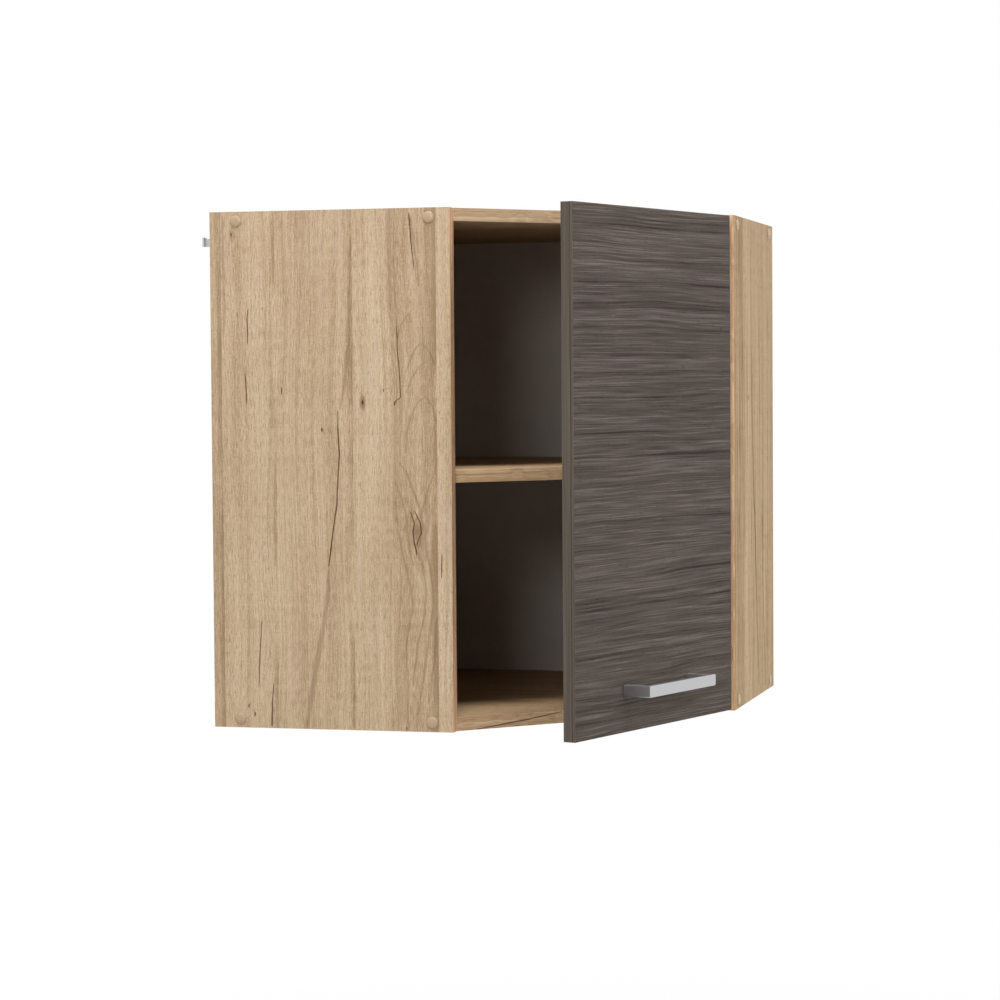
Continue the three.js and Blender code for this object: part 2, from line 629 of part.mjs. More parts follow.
for (const [name, level] of Object.entries(HINGE_HEIGHTS)) {
  const high = [level + LINK_FLOOR, level + LINK_FLOOR + LINK_HEIGHT];
  const low = [level - LINK_FLOOR - LINK_HEIGHT, level - LINK_FLOOR];
  const outer = link(outerArmPivot, OUTER_BENDS, outerCupPivot, RUNNING, high);
  const inner = link(innerArmPivot, INNER_BENDS, innerCupPivot, OPEN_PIVOT, low);
  add(armFrame, `hinge_${name}_plate`, mountingPlate(level), ZINC);
  add(armFrame, `hinge_${name}_arm`, hingeArm(level), STEEL);
  add(outerSwing, `hinge_${name}_outer_link`, outer, STEEL);
  add(innerSwing, `hinge_${name}_inner_link`, inner, STEEL);
  add(doorFrame, `hinge_${name}_cup`, hingeCup(level), STEEL);
  for (const [end, way] of Object.entries({ low: -1, high: 1 })) {
    const z = level + way * PLATE_SCREW_SPREAD;
    const seat = FIT + PLATE_THICKNESS + FIT;
    add(armFrame, `plate_screw_${name}_${end}`, woodScrew(PLATE_CENTRE, z, seat), ZINC);
  }
  for (const [end, [x, z]] of Object.entries(cupScrewPlaces(level))) {
    const seat = FIT + FLANGE_THICKNESS + FIT;
    add(doorFrame, `cup_screw_${name}_${end}`, woodScrew(x, z, seat), ZINC);
  }
}

function doorPanel() {
  const board = block([-DOOR_WIDTH, 0], [-DOOR_THICKNESS, 0], [DOOR_BOTTOM_GAP, DOOR_TOP]);
  const tools = [];
  for (const level of Object.values(HINGE_HEIGHTS)) {
    tools.push(rod("y", CUP_RADIUS + FIT, [-CUP_DEPTH - FIT, PAST], -CUP_CENTRE, level, CUP_SIDES));
    for (const [x, z] of Object.values(cupScrewPlaces(level))) {
      tools.push(rod("y", WOOD_SCREW_RADIUS + FIT, [-WOOD_SCREW_LENGTH - FIT, PAST], x, z));
    }
  }
  for (const x of handleLegs) {
    tools.push(rod("y", HANDLE_SCREW_RADIUS + FIT, [-DOOR_THICKNESS - PAST, PAST], x, handleZ));
  }
  return cut(board, ...tools);
}

// A bow of flat section with a fine bevel on every arris.
function handleBow() {
  const bevel = HANDLE_BEVEL;
  const left = -HANDLE_LENGTH / 2 + bevel;
  const seat = -DOOR_THICKNESS - FIT - bevel;
  const face = -DOOR_THICKNESS - HANDLE_REACH + bevel;
  const inLeft = left + HANDLE_LEG - 2 * bevel;
  const inFace = face + HANDLE_BAR - 2 * bevel;
  const outline = [
    [left, face],
    [-left, face],
    [-left, seat],
    [-inLeft, seat],
    [-inLeft, inFace],
    [inLeft, inFace],
    [inLeft, seat],
    [left, seat],
  ];
  const shape = new THREE.Shape(outline.map(([x, y]) => new THREE.Vector2(x, y)));
  const geometry = new THREE.ExtrudeGeometry(shape, {
    depth: HANDLE_HEIGHT - 2 * bevel,
    bevelEnabled: true,
    bevelSize: bevel,
    bevelThickness: bevel,
    bevelSegments: 1,
  });
  geometry.translate(handleX, 0, handleZ - HANDLE_HEIGHT / 2 + bevel);
  const holeEnd = -DOOR_THICKNESS - HANDLE_SCREW_DEPTH - FIT;
  const holes = handleLegs.map((x) =>
    rod("y", HANDLE_SCREW_RADIUS + FIT, [holeEnd, -DOOR_THICKNESS + PAST], x, handleZ),
  );
  return cut(solid(geometry), ...holes);
}

function handleScrew(x) {
  const headSpan = [FIT, FIT + HANDLE_SCREW_HEAD_HEIGHT];
  const headTop = HANDLE_SCREW_HEAD * TAPER;
  const head = rod("y", HANDLE_SCREW_HEAD, headSpan, x, handleZ, MANY_SIDES, headTop);
  const shankSpan = [-DOOR_THICKNESS - HANDLE_SCREW_DEPTH, FIT + PAST];
  return join(head, rod("y", HANDLE_SCREW_RADIUS, shankSpan, x, handleZ));
}

function doorBumper(z) {
  const x = BUMPER_INSET - DOOR_WIDTH;
  const span = [FIT, DOOR_BACK_GAP - FIT];
  return rod("y", BUMPER_RADIUS, span, x, z, MANY_SIDES, BUMPER_RADIUS * TAPER);
}

add(doorFrame, "door_panel", doorPanel(), GREY_WOOD);
add(doorFrame, "handle", handleBow(), SATIN_METAL);
add(doorFrame, "handle_screw_free", handleScrew(handleLegs[0]), STEEL);
add(doorFrame, "handle_screw_hinge", handleScrew(handleLegs[1]), STEEL);
add(doorFrame, "door_bumper_bottom", doorBumper(BOARD / 2), CLEAR_RUBBER);
add(doorFrame, "door_bumper_top", doorBumper(HEIGHT - BOARD / 2), CLEAR_RUBBER);

export default cabinet;
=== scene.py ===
import math

import bmesh
import bpy
from mathutils import Matrix, Vector


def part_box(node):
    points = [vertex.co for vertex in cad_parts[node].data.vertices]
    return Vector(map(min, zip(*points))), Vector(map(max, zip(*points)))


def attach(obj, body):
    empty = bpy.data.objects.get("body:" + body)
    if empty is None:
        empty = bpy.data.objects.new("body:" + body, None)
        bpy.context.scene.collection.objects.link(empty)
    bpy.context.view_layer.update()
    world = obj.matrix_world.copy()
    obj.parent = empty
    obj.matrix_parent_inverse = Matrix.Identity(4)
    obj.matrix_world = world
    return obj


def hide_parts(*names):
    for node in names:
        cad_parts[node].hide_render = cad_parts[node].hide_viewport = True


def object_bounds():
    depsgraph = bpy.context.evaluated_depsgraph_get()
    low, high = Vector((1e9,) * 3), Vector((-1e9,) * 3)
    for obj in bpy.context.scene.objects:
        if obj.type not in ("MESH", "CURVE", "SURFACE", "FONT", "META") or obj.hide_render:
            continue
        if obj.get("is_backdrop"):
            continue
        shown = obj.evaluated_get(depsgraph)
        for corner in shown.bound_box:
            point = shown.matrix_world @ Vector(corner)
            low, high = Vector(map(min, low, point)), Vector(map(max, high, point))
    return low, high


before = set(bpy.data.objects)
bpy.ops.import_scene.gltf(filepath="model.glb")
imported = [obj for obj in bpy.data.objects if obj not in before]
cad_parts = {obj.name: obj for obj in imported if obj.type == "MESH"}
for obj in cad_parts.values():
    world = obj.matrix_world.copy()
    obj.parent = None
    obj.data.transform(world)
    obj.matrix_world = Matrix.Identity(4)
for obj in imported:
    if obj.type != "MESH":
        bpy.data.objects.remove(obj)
cad_low, cad_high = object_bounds()

# ---- The room ----
# A corner wall cabinet against plain white. It hangs well above a pale floor, among soft lamps to its
# left, right and rear. One overhead lights the boards' front edges and leaves the cabinet's depth dark,
# and a small low one throws a soft pool of light on its back.
scene = bpy.context.scene
scene.view_settings.view_transform = "Standard"
MM = 0.001


def paint(red, green, blue):
    """A colour as written on screen, 0 to 255, in the linear values that a shader takes."""
    linear = [c / 3294.6 if c <= 10.31 else ((c / 255 + 0.055) / 1.055) ** 2.4 for c in (red, green, blue)]
    return (*linear, 1.0)


def put(name, data):
    """Adds an object to the scene, at the origin."""
    made = bpy.data.objects.new(name, data)
    scene.collection.objects.link(made)
    return made


class Web:
    """Short calls for building a tree of nodes. A value may be a number, a vector or a socket."""

    def __init__(self, tree):
        self.tree = tree

    def feed(self, socket, value):
        if isinstance(value, bpy.types.NodeSocket):
            self.tree.links.new(value, socket)
        else:
            socket.default_value = value

    def add(self, kind, values=None, **settings):
        made = self.tree.nodes.new(kind)
        for name, value in settings.items():
            setattr(made, name, value)
        for socket, value in (values or {}).items():
            self.feed(made.inputs[socket], value)
        return made

    def calc(self, operation, *values, clamp=False):
        made = self.add("ShaderNodeMath", operation=operation, use_clamp=clamp)
        for socket, value in zip(made.inputs, values):
            self.feed(socket, value)
        return made.outputs[0]

    def chain(self, operation, values):
        total = values[0]
        for value in values[1:]:
            total = self.calc(operation, total, value)
        return total

    def sum(self, *values):
        return self.chain("ADD", values)

    def times(self, *values):
        return self.chain("MULTIPLY", values)

    def larger(self, *values):
        return self.chain("MAXIMUM", values)

    def minus(self, first, second):
        return self.calc("SUBTRACT", first, second)

    def over(self, first, second):
        return self.calc("DIVIDE", first, second)

    def gap(self, first, second):
        return self.calc("ABSOLUTE", self.minus(first, second))

    def step(self, value, low, high):
        """0 below low, 1 above high, and a soft step between. low may be above high."""
        made = self.add("ShaderNodeMapRange", interpolation_type="SMOOTHSTEP")
        for name, number in (("Value", value), ("From Min", low), ("From Max", high)):
            self.feed(made.inputs[name], number)
        return made.outputs[0]

    def vector(self, x, y, z):
        return self.add("ShaderNodeCombineXYZ", {0: x, 1: y, 2: z}).outputs[0]

    def parts(self, vector):
        return self.add("ShaderNodeSeparateXYZ", {0: vector}).outputs

    def scaled(self, vector, factor):
        return self.add("ShaderNodeVectorMath", {0: vector, 3: factor}, operation="SCALE").outputs[0]

    def moved(self, vector, by):
        return self.add("ShaderNodeVectorMath", {0: vector, 1: by}, operation="ADD").outputs[0]

    def reach(self, place, direction, start=0.0):
        """How far a place lies along a direction, in mm, from start."""
        dot = self.add("ShaderNodeVectorMath", {0: place, 1: direction}, operation="DOT_PRODUCT")
        return self.minus(dot.outputs["Value"], start)

    def noise(self, place, detail=2.0, roughness=0.5):
        values = {"Vector": place, "Scale": 1.0, "Detail": detail, "Roughness": roughness}
        return self.add("ShaderNodeTexNoise", values).outputs[0]

    def sway(self, place, detail=2.0, roughness=0.5):
        """Noise about nought, from -0.5 to 0.5."""
        return self.minus(self.noise(place, detail, roughness), 0.5)

    def ramp(self, value, stops, interpolation="LINEAR"):
        made = self.add("ShaderNodeValToRGB", {0: value})
        made.color_ramp.interpolation = interpolation
        while len(made.color_ramp.elements) < len(stops):
            made.color_ramp.elements.new(0.5)
        for element, (position, colour) in zip(made.color_ramp.elements, stops):
            element.position = position
            element.color = colour
        return made.outputs[0]

    def mix(self, share, first, second, blend="MIX"):
        made = self.add("ShaderNodeMix", data_type="RGBA", blend_type=blend)
        for socket, value in ((0, share), (6, first), (7, second)):
            self.feed(made.inputs[socket], value)
        return made.outputs[2]

    def seen(self):
        """1 on a ray from the camera, from a reflection or through clear plastic, else 0."""
        rays = self.add("ShaderNodeLightPath").outputs
        return self.larger(rays["Is Camera Ray"], rays["Is Glossy Ray"], rays["Is Transmission Ray"])


# Azimuth in degrees from straight in front, height, distance and side in metres, power in watts, and
# whether reflections show the lamp.
LAMPS = {
    "left lamp": (-62, 2.3, 3.0, 1.7, 44, False),
    "middle lamp": (41, 1.5, 3.0, 1.4, 14, True),
    "right lamp": (88, 1.4, 3.0, 1.7, 37, False),
    "front lamp": (-10, 2.0, 3.0, 1.0, 9, True),
    "low lamp": (4, 1.0, 3.0, 0.5, 8.8, True),
    "overhead lamp": (21, 3.25, 1.3, 0.9, 88, True),
    "rear lamp": (205, 1.8, 3.4, 1.8, 55, True),
}
LAMP_AIM = Vector((0, 0, 0.32))
for name, (azimuth, height, distance, side, power, reflected) in LAMPS.items():
    turn = math.radians(azimuth)
    light = bpy.data.lights.new(name, "AREA")
    light.shape = "SQUARE"
    light.size = side
    light.energy = power
    lamp = put(name, light)
    lamp.location = (distance * math.sin(turn), -distance * math.cos(turn), height)
    lamp.rotation_euler = (LAMP_AIM - lamp.location).to_track_quat("-Z", "Y").to_euler()
    lamp.visible_glossy = reflected

WORLD_LIGHT = 0.12
world = bpy.data.worlds.new("room")
world.use_nodes = True
scene.world = world
web = Web(world.node_tree)
background = world.node_tree.nodes["Background"].inputs
web.feed(background["Strength"], web.sum(WORLD_LIGHT, web.times(web.seen(), 1 - WORLD_LIGHT)))
web.feed(background["Color"], (1, 1, 1, 1))

FLOOR_DROP = 0.75
FLOOR_HALF = 30.0
SHADOW_REACH = 2.2
SHADOW_CORE = 0.35 * SHADOW_REACH
SHADOW_WHITE = 0.55
floor_mesh = bpy.data.meshes.new("floor")
ring = [(x * FLOOR_HALF, y * FLOOR_HALF, -FLOOR_DROP) for x, y in ((-1, -1), (1, -1), (1, 1), (-1, 1))]
floor_mesh.from_pydata(ring, [], [(0, 1, 2, 3)])
floor = put("floor", floor_mesh)
floor_finish = bpy.data.materials.new("pale floor")
floor_finish.use_nodes = True
web = Web(floor_finish.node_tree)
web.tree.nodes.remove(web.tree.nodes["Principled BSDF"])
place = web.add("ShaderNodeTexCoord").outputs["Object"]
distance = web.add("ShaderNodeVectorMath", {0: place}, operation="LENGTH").outputs["Value"]
far = web.step(distance, SHADOW_CORE, SHADOW_REACH)
whiteness = web.times(web.seen(), web.sum(SHADOW_WHITE, web.times(far, 1 - SHADOW_WHITE)))
plain = web.add("ShaderNodeBsdfDiffuse", {"Color": paint(243, 243, 243)}).outputs[0]
white = web.add("ShaderNodeEmission", {"Color": (1, 1, 1, 1), "Strength": 1.0}).outputs[0]
lit = web.add("ShaderNodeMixShader", {0: whiteness, 1: plain, 2: white}).outputs[0]
clear = web.add("ShaderNodeBsdfTransparent").outputs[0]
under = web.add("ShaderNodeNewGeometry").outputs["Backfacing"]
from_above = web.add("ShaderNodeMixShader", {0: under, 1: lit, 2: clear}).outputs[0]
web.feed(web.tree.nodes["Material Output"].inputs["Surface"], from_above)
floor_mesh.materials.append(floor_finish)
floor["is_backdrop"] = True

CAMERA_PLACE = Vector((0.9407, -3.6202, 0.4283))
CAMERA_YAW = -14.743
CAMERA_PITCH = -2.432
CAMERA_ROLL = -0.405
CAMERA_LENS = 102.91
CAMERA_SENSOR = 36.0
yaw, pitch, roll = (math.radians(v) for v in (CAMERA_YAW, CAMERA_PITCH, CAMERA_ROLL))
ahead = Vector((math.sin(yaw) * math.cos(pitch), math.cos(yaw) * math.cos(pitch), math.sin(pitch)))
level = Vector((math.cos(yaw), -math.sin(yaw), 0))
above = level.cross(ahead)
right = math.cos(roll) * level + math.sin(roll) * above
upward = math.cos(roll) * above - math.sin(roll) * level
camera_data = bpy.data.cameras.new("camera")
camera_data.lens = CAMERA_LENS
camera_data.sensor_width = CAMERA_SENSOR
camera_data.clip_end = 200.0
camera = put("camera", camera_data)
turned = Matrix((right, upward, -ahead)).transposed().to_4x4()
camera.matrix_world = Matrix.Translation(CAMERA_PLACE) @ turned
scene.camera = camera

# ---- The side panels ----
# Two boards of 16 mm particle board with a printed light oak foil on both faces. The front edge has a
# slightly redder band glued on; its colour is also made lighter than the print, as painted light on the
# front edges. The top and bottom edges have thin bands, and the rear edge is raw.
BAND = 0.8 * MM
THIN_BAND = 0.4 * MM
ARRIS = 0.35 * MM
FOIL_ARRIS = 0.15 * MM
SIDE_HALF = 0.300
SIDE_FRONT = 0.007
SIDE_DEPTH = SIDE_HALF + SIDE_FRONT
CASE_HEIGHT = 0.635
BOARD = 0.016
WALL_MM = 300.0
BOARD_MIDDLE_MM = 8.0
FACING = 0.9
OAK_DARK = paint(155, 130, 99)
OAK_MID = paint(191, 166, 135)
OAK_LIGHT = paint(214, 193, 166)
OAK_BLUSH = paint(200, 177, 155)
OAK_PORE = paint(118, 90, 64)
OAK_KNOT = paint(128, 98, 70)
OAK_CRACK = paint(82, 52, 32)
BAND_PORE = paint(120, 92, 68)
BAND_SHADES = ((160, 129, 97), (187, 158, 126), (208, 182, 151))


def grey(value):
    return (value, value, value, 1.0)


def up(height):
    return Vector((0, 0, height))


def curve_of(web, value, length, points, low, high):
    """A drawn curve: value from 0 to length gives a number between low and high."""
    made = web.add("ShaderNodeFloatCurve", {"Value": web.over(value, length)})
    curve = made.mapping.curves[0]
    while len(curve.points) < len(points):
        curve.points.new(0.5, 0.5)
    for point, (x, y) in zip(curve.points, points):
        point.location = (min(max(x / length, 0), 1), (y - low) / (high - low))
        point.handle_type = "VECTOR"
    made.mapping.update()
    return web.sum(web.times(made.outputs[0], high - low), low)


def marks_of(web, across, along, length, breadth, columns, soft=0.7):
    """Printed cracks, specks and veins. A column is a list of strokes, and a stroke is a list of
    places (along, across, half width) in mm. Strokes in one column don't overlap along the board.
    soft is how far a stroke fades at its sides."""
    none, widest, lead = -0.3 - soft, 5.0, 2
    found = 0.0
    for column in columns:
        path, width = [], []
        for stroke in sorted(column, key=lambda s: s[0][0]):
            before, after = stroke[0][0] - lead, stroke[-1][0] + lead
            path += [(before, stroke[0][1]), *((v, u) for v, u, _ in stroke), (after, stroke[-1][1])]
            width += [(before, none), *((v, w) for v, _, w in stroke), (after, none)]
        middle = curve_of(web, along, length, path, 0, breadth)
        wide = curve_of(web, along, length, width, none, widest)
        inside = web.minus(wide, web.gap(across, middle))
        found = web.larger(found, web.step(inside, -soft, 0.2 * soft))
    return found


def oak_look(web, across, through, along, seed, strips, knots=(), cracks=(), veins=None,
             length=635.0, breadth=307.0, streaks=0.34, tint=(255, 255, 255)):
    """Light oak print, in mm: joined strips of fine straight grain, with pores, knots and cracks. A
    strip is where it starts across the board and how light it is. A knot is its place along and
    across, its reach, how far it bends the grain, and how dark it is. veins are soft dark marks:
    their strokes, how far they fade, and their strength."""
    other_face = web.calc("GREATER_THAN", through, BOARD_MIDDLE_MM)
    along = web.sum(along, web.times(other_face, 700.0))
    stops = [(start, grey(shade)) for start, shade in strips]
    strip = web.ramp(web.over(across, breadth), stops, "CONSTANT")
    strip_shift = web.times(strip, 83.0)

    def field(source, wide, long, detail, offset, roughness=0.5):
        """Noise from -0.5 to 0.5 in marks so wide and so long."""
        x = web.sum(web.over(source, wide), strip_shift, seed + offset)
        return web.sway(web.vector(x, web.over(through, wide), web.over(along, long)), detail, roughness)

    broad = field(across, 70.0, 260.0, 1.0, 0.0)
    fine = field(across, 9.0, 26.0, 2.0, 5.0)
    bent = web.sum(across, web.times(broad, 24.0), web.times(fine, 0.9))
    core, swirl = 0.0, 0.0
    for knot_along, knot_across, reach, bend, dark in knots:
        du = web.over(web.minus(across, knot_across), reach)
        dv = web.over(web.minus(along, knot_along), reach * 2.6)
        spread = web.calc("EXPONENT", web.times(-1.0, web.sum(web.times(du, du), web.times(dv, dv))))
        bent = web.minus(bent, web.times(du, spread, bend))
        if bend > 10:
            swirl = web.larger(swirl, web.calc("POWER", spread, 0.35))
        if dark:
            core = web.larger(core, web.times(web.step(spread, 0.35, 1.0), dark))

    lines = field(bent, 2.4, 260.0, 2.0, 0.0)
    dashes = field(bent, 1.5, 12.0, 0.0, 13.0)
    grit = field(across, 1.5, 2.6, 0.0, 43.0)
    bevel = web.minus(field(web.sum(bent, 0.45), 1.3, 8.0, 0.0, 41.0), field(bent, 1.3, 8.0, 0.0, 41.0))
    ribs = field(bent, 6.5, 300.0, 1.0, 7.0)
    bands = field(bent, 27.0, 520.0, 1.0, 17.0)
    mottle = field(across, 48.0, 80.0, 3.0, 3.0, 0.6)
    rings = web.calc("FRACT", web.times(field(bent, 40.0, 95.0, 1.0, 23.0), 11.0))
    rings = web.times(web.step(web.gap(rings, 0.5), 0.34, 0.0), swirl)
    ripple = web.calc("SINE", web.sum(web.over(along, 2.6), web.times(mottle, 16.0)))
    ripple = web.times(ripple, web.step(field(across, 34.0, 60.0, 1.0, 37.0), 0.04, 0.16))
    joint = 0.0
    for start, _ in strips[1:]:
        past = web.minus(start * breadth, web.sum(across, web.times(fine, 1.2)))
        joint = web.larger(joint, web.times(web.step(past, 9.0, 0.0), web.step(past, -0.3, 0.3)))
    joint = web.times(joint, web.step(field(across, 60.0, 120.0, 1.0, 29.0), -0.12, 0.1))

    tone = 0.5
    shares = ((lines, 0.5), (dashes, 0.34), (ribs, streaks), (bands, 0.42), (mottle, 0.34),
              (web.minus(strip, 0.5), 0.52), (rings, -0.26), (joint, -0.3), (ripple, 0.035),
              (bevel, 0.5), (grit, 0.36))
    for mark, share in shares:
        tone = web.sum(tone, web.times(mark, share))
    colour = web.ramp(tone, [(0.14, OAK_DARK), (0.5, OAK_MID), (0.84, OAK_LIGHT)])
    blush = web.step(field(bent, 15.0, 170.0, 2.0, 53.0), 0.0, 0.2)
    colour = web.mix(web.times(blush, strip, 0.6), colour, OAK_BLUSH)
    pores = web.step(field(bent, 0.9, 17.0, 1.0, 11.0), 0.06, 0.16)
    coarse = web.sum(0.35, web.step(web.sum(strip, mottle), 0.42, 0.72))
    flecks = web.times(web.step(field(bent, 1.3, 8.0, 1.0, 19.0), 0.09, 0.2), coarse)
    colour = web.mix(web.sum(web.times(pores, 0.26), web.times(flecks, 0.3)), colour, OAK_PORE)
    if veins:
        strokes, soft, strength = veins
        aside = web.sum(across, web.times(fine, 2 * soft))
        vein = marks_of(web, aside, along, length, breadth, strokes, soft)
        colour = web.mix(web.times(vein, strength), colour, OAK_PORE)
    colour = web.mix(core, colour, OAK_KNOT)
    crack = 0.0
    if cracks:
        crack = marks_of(web, web.sum(across, web.times(fine, 2.4)), along, length, breadth, cracks)
    colour = web.mix(web.times(crack, 0.92), colour, OAK_CRACK)
    colour = web.mix(1.0, colour, paint(*tint), "MULTIPLY")
    hollow = web.sum(web.times(pores, 0.35), web.times(flecks, 0.7), crack)
    height = web.minus(web.sum(web.times(dashes, 1.2), web.times(grit, 0.8)), hollow)
    return colour, height


def blank_finish(name):
    """A new material: its node tree, the place on the piece in mm, and its shader's sockets."""
    made = bpy.data.materials.new(name)
    made.use_nodes = True
    web = Web(made.node_tree)
    place = web.scaled(web.add("ShaderNodeTexCoord").outputs["Object"], 1 / MM)
    return made, web, place, made.node_tree.nodes["Principled BSDF"].inputs


def emboss(web, shader, height, depth, strength=1.0):
    """Fine relief, its depth in mm."""
    bump = web.add("ShaderNodeBump", {"Strength": strength, "Distance": depth * MM, "Height": height})
    web.feed(shader["Normal"], bump.outputs[0])


def foil(name, look, roughness=0.65, specular=0.05, relief=0.14):
    """A printed foil finish. look(web, place) gives its colour and its relief."""
    made, web, place, shader = blank_finish(name)
    colour, height = look(web, place)
    web.feed(shader["Base Color"], colour)
    shader["Specular IOR Level"].default_value = specular
    web.feed(shader["Roughness"], web.sum(roughness, web.times(height, -0.12)))
    emboss(web, shader, height, relief)
    return made


# The print of each panel's outer face, after marks found in the photo, as oak_look takes them
LEFT_STRIPS = [(0, 0.4), (0.045, 0.58), (0.273, 0.47), (0.594, 0.6), (0.757, 0.3), (0.94, 0.68)]
LEFT_KNOTS = [(243, 263, 11, 13, 0.6), (400, 195, 5.5, 4, 0.75), (335, 268, 22, 9, 0), (100, 258, 20, 8, 0),
              (607, 28, 5, 2, 0.35), (39, 183, 4, 2, 0.4)]
LEFT_CRACKS = [
    [[(50.5, 58.2, 0.1), (72.4, 58.9, 0.25), (105.6, 60.9, 0.3), (132.1, 62.6, 0.1)],
     [(399.3, 46.1, 0.1), (417.2, 45.3, 0.35), (436.1, 44.2, 0.2)],
     [(472.2, 47.9, 0.1), (487, 48.3, 0.4), (503.8, 47.3, 0.45), (516.4, 49, 0.1)],
     [(605, 28.2, 0.2), (607, 28.2, 1.4), (609, 28.2, 0.2)],
     [(14, 52, 0.3), (17, 54, 0.9), (20, 52.5, 0.2)],
     [(25, 43.5, 0.5), (29, 45.5, 0.5)]],
    [[(0.2, 74.4, 0.5), (30.8, 75.4, 0.45), (55.1, 77.4, 0.25)],
     [(200.1, 150.1, 0.3), (218.8, 152.9, 0.6), (245, 156.1, 0.65), (275.6, 161, 0.5), (303.9, 162.4, 0.45),
      (336.6, 164.8, 0.5), (347.3, 164.5, 0.5), (368.3, 162.9, 0.45), (390.4, 163.5, 0.3)],
     [(410, 91.4, 0.1), (415, 91.4, 0.6), (420, 91.4, 0.1)]],
    [[(1, 247.7, 0.3), (6, 247.7, 0.3)],
     [(214, 262, 0.2), (218.6, 262, 0.7), (230, 259, 0.5), (243.5, 257.6, 0.5), (254.3, 260, 0.4),
      (267.4, 254.6, 0.3)],
     [(397, 235.5, 0.4), (399.4, 235.5, 1), (402, 237, 0.5), (406.6, 243.4, 0.35), (436.9, 241.9, 0.4),
      (464, 239.8, 0.45), (493.1, 239.1, 0.15)],
     [(561.3, 261.5, 0.15), (596.7, 258, 0.5), (628.9, 255.6, 0.5)]],
    [[(187.7, 293.2, 0.25), (202, 293.6, 0.55), (216.8, 294.1, 0.2)],
     [(226, 262.2, 0.2), (230.5, 263.2, 0.4), (241.4, 268.5, 0.45), (254.3, 266.8, 0.5), (263, 262.4, 0.3),
      (268, 260.5, 0.2)],
     [(365, 142.9, 0.3), (367.3, 142.9, 0.9), (370, 142.9, 0.2)],
     [(398, 195, 0.3), (400, 195, 1.6), (403, 195, 0.3)],
     [(413.5, 221.8, 0.2), (415.1, 221.8, 1), (417, 221.8, 0.2)],
     [(419.5, 258.6, 0.2), (420.6, 258.6, 0.8), (422, 258.6, 0.1)]],
]
LEFT_VEINS = [
    [[(2, 250, 0.3), (60, 250, 0.5), (105, 248, 0.5), (155, 257, 0.6), (185, 252, 0.6), (215, 245, 0.6),
      (245, 239, 0.5), (285, 236, 0.3)],
     [(340, 250, 0.2), (365, 251, 0.5), (385, 257, 0.6), (400, 265, 0.6), (408, 275, 0.2)],
     [(435, 250, 0.3), (455, 257, 0.7), (466, 263, 0.7), (472, 270, 0.2)],
     [(480, 240, 0.2), (495, 245, 0.5), (505, 252, 0.4), (510, 258, 0.1)],
     [(540, 267, 0.2), (575, 264, 0.6), (605, 260, 0.6), (625, 257, 0.3)]],
    [[(20, 262, 0.3), (70, 270, 0.6), (115, 277, 0.6), (155, 283, 0.5), (195, 280, 0.6), (225, 274, 0.7),
      (245, 272, 0.6), (265, 267, 0.6), (290, 260, 0.6), (315, 250, 0.6), (328, 240, 0.3)],
     [(375, 288, 0.2), (395, 284, 0.6), (408, 276, 0.2)],
     [(445, 287, 0.2), (460, 281, 0.6), (472, 271, 0.2)]],
    [[(55, 256, 0.3), (105, 262, 0.6), (145, 272, 0.7), (175, 274, 0.6), (200, 270, 0.7), (218, 265, 0.3)],
     [(262, 268, 0.2), (280, 273, 0.6), (300, 279, 0.4), (310, 284, 0.1)],
     [(412, 251, 0.2), (430, 258, 0.6), (444, 268, 0.5), (449, 276, 0.1)]],
    [[(35, 276, 0.2), (95, 284, 0.5), (140, 287, 0.3)],
     [(203, 258, 0.2), (225, 252, 0.6), (245, 250, 0.7), (265, 249, 0.6), (285, 243, 0.6),
      (302, 237, 0.3)]],
    [[(2, 120, 1.5), (35, 125, 2.5), (75, 132, 3), (115, 140, 2.6), (155, 147, 2), (196, 150, 0.5)],
     [(392, 167, 0.5), (425, 172, 1.6), (465, 177, 1.6), (520, 179, 1), (600, 181, 0.3)]],
    [[(480, 17, 0.3), (520, 18, 1.2), (580, 17, 1.2), (630, 17, 0.4)]],
]
LEFT_VEIN_LOOK = (1.8, 0.36)
RIGHT_STRIPS = [(0, 0.52), (0.16, 0.62), (0.3, 0.5), (0.58, 0.66), (0.765, 0.22), (0.93, 0.36)]
RIGHT_KNOTS = [(345, 262, 14.0, 8.0, 0.25)]
RIGHT_CRACKS = [
    [[(130, 138.5, 0.1), (165, 142, 0.5), (215, 147.5, 1.2), (250, 153, 1), (290, 160, 0.2)],
     [(398, 199, 0.3), (401, 199, 2.4), (404, 199.5, 0.3)]],
    [[(228, 91, 0.2), (234, 91.5, 1.4), (240, 92, 0.2)],
     [(360, 240.4, 0.3), (361.8, 240.4, 1.2), (364, 240.4, 0.3)]],
]
RIGHT_VEINS = [
    [[(15, 121, 1.6), (60, 127, 2), (100, 135, 2.2), (140, 139, 2.4), (180, 143, 2.6), (215, 147, 3),
      (250, 153, 2.8), (300, 161, 2.6), (350, 167, 2.2), (400, 170, 1.8), (460, 172, 0.3)]],
    [[(8, 71, 1.8), (60, 74, 1.8), (100, 80, 1.8), (160, 89, 1), (215, 91, 2.6), (230, 91, 3.6),
      (250, 92, 2.8), (264, 93, 0.2)]],
    [[(50, 248, 0.3), (70, 247, 1.8), (90, 246, 0.8), (110, 247, 1.8), (132, 246, 0.3)],
     [(203, 262, 0.3), (225, 268, 2.4), (240, 270, 3.6), (265, 265, 2.6), (300, 262, 0.3)],
     [(420, 246, 0.3), (440, 245, 1.8), (455, 244, 2.8), (474, 243, 0.3)],
     [(558, 270, 0.2), (572, 268, 1.4), (600, 264, 2.2), (624, 263, 0.8)]],
    [[(58, 54, 0.3), (100, 55, 1.2), (140, 58, 1.2), (168, 63, 0.4)],
     [(470, 44, 0.2), (500, 44, 1.6), (530, 46, 0.3)]],
]
RIGHT_VEIN_LOOK = (3.2, 0.5)


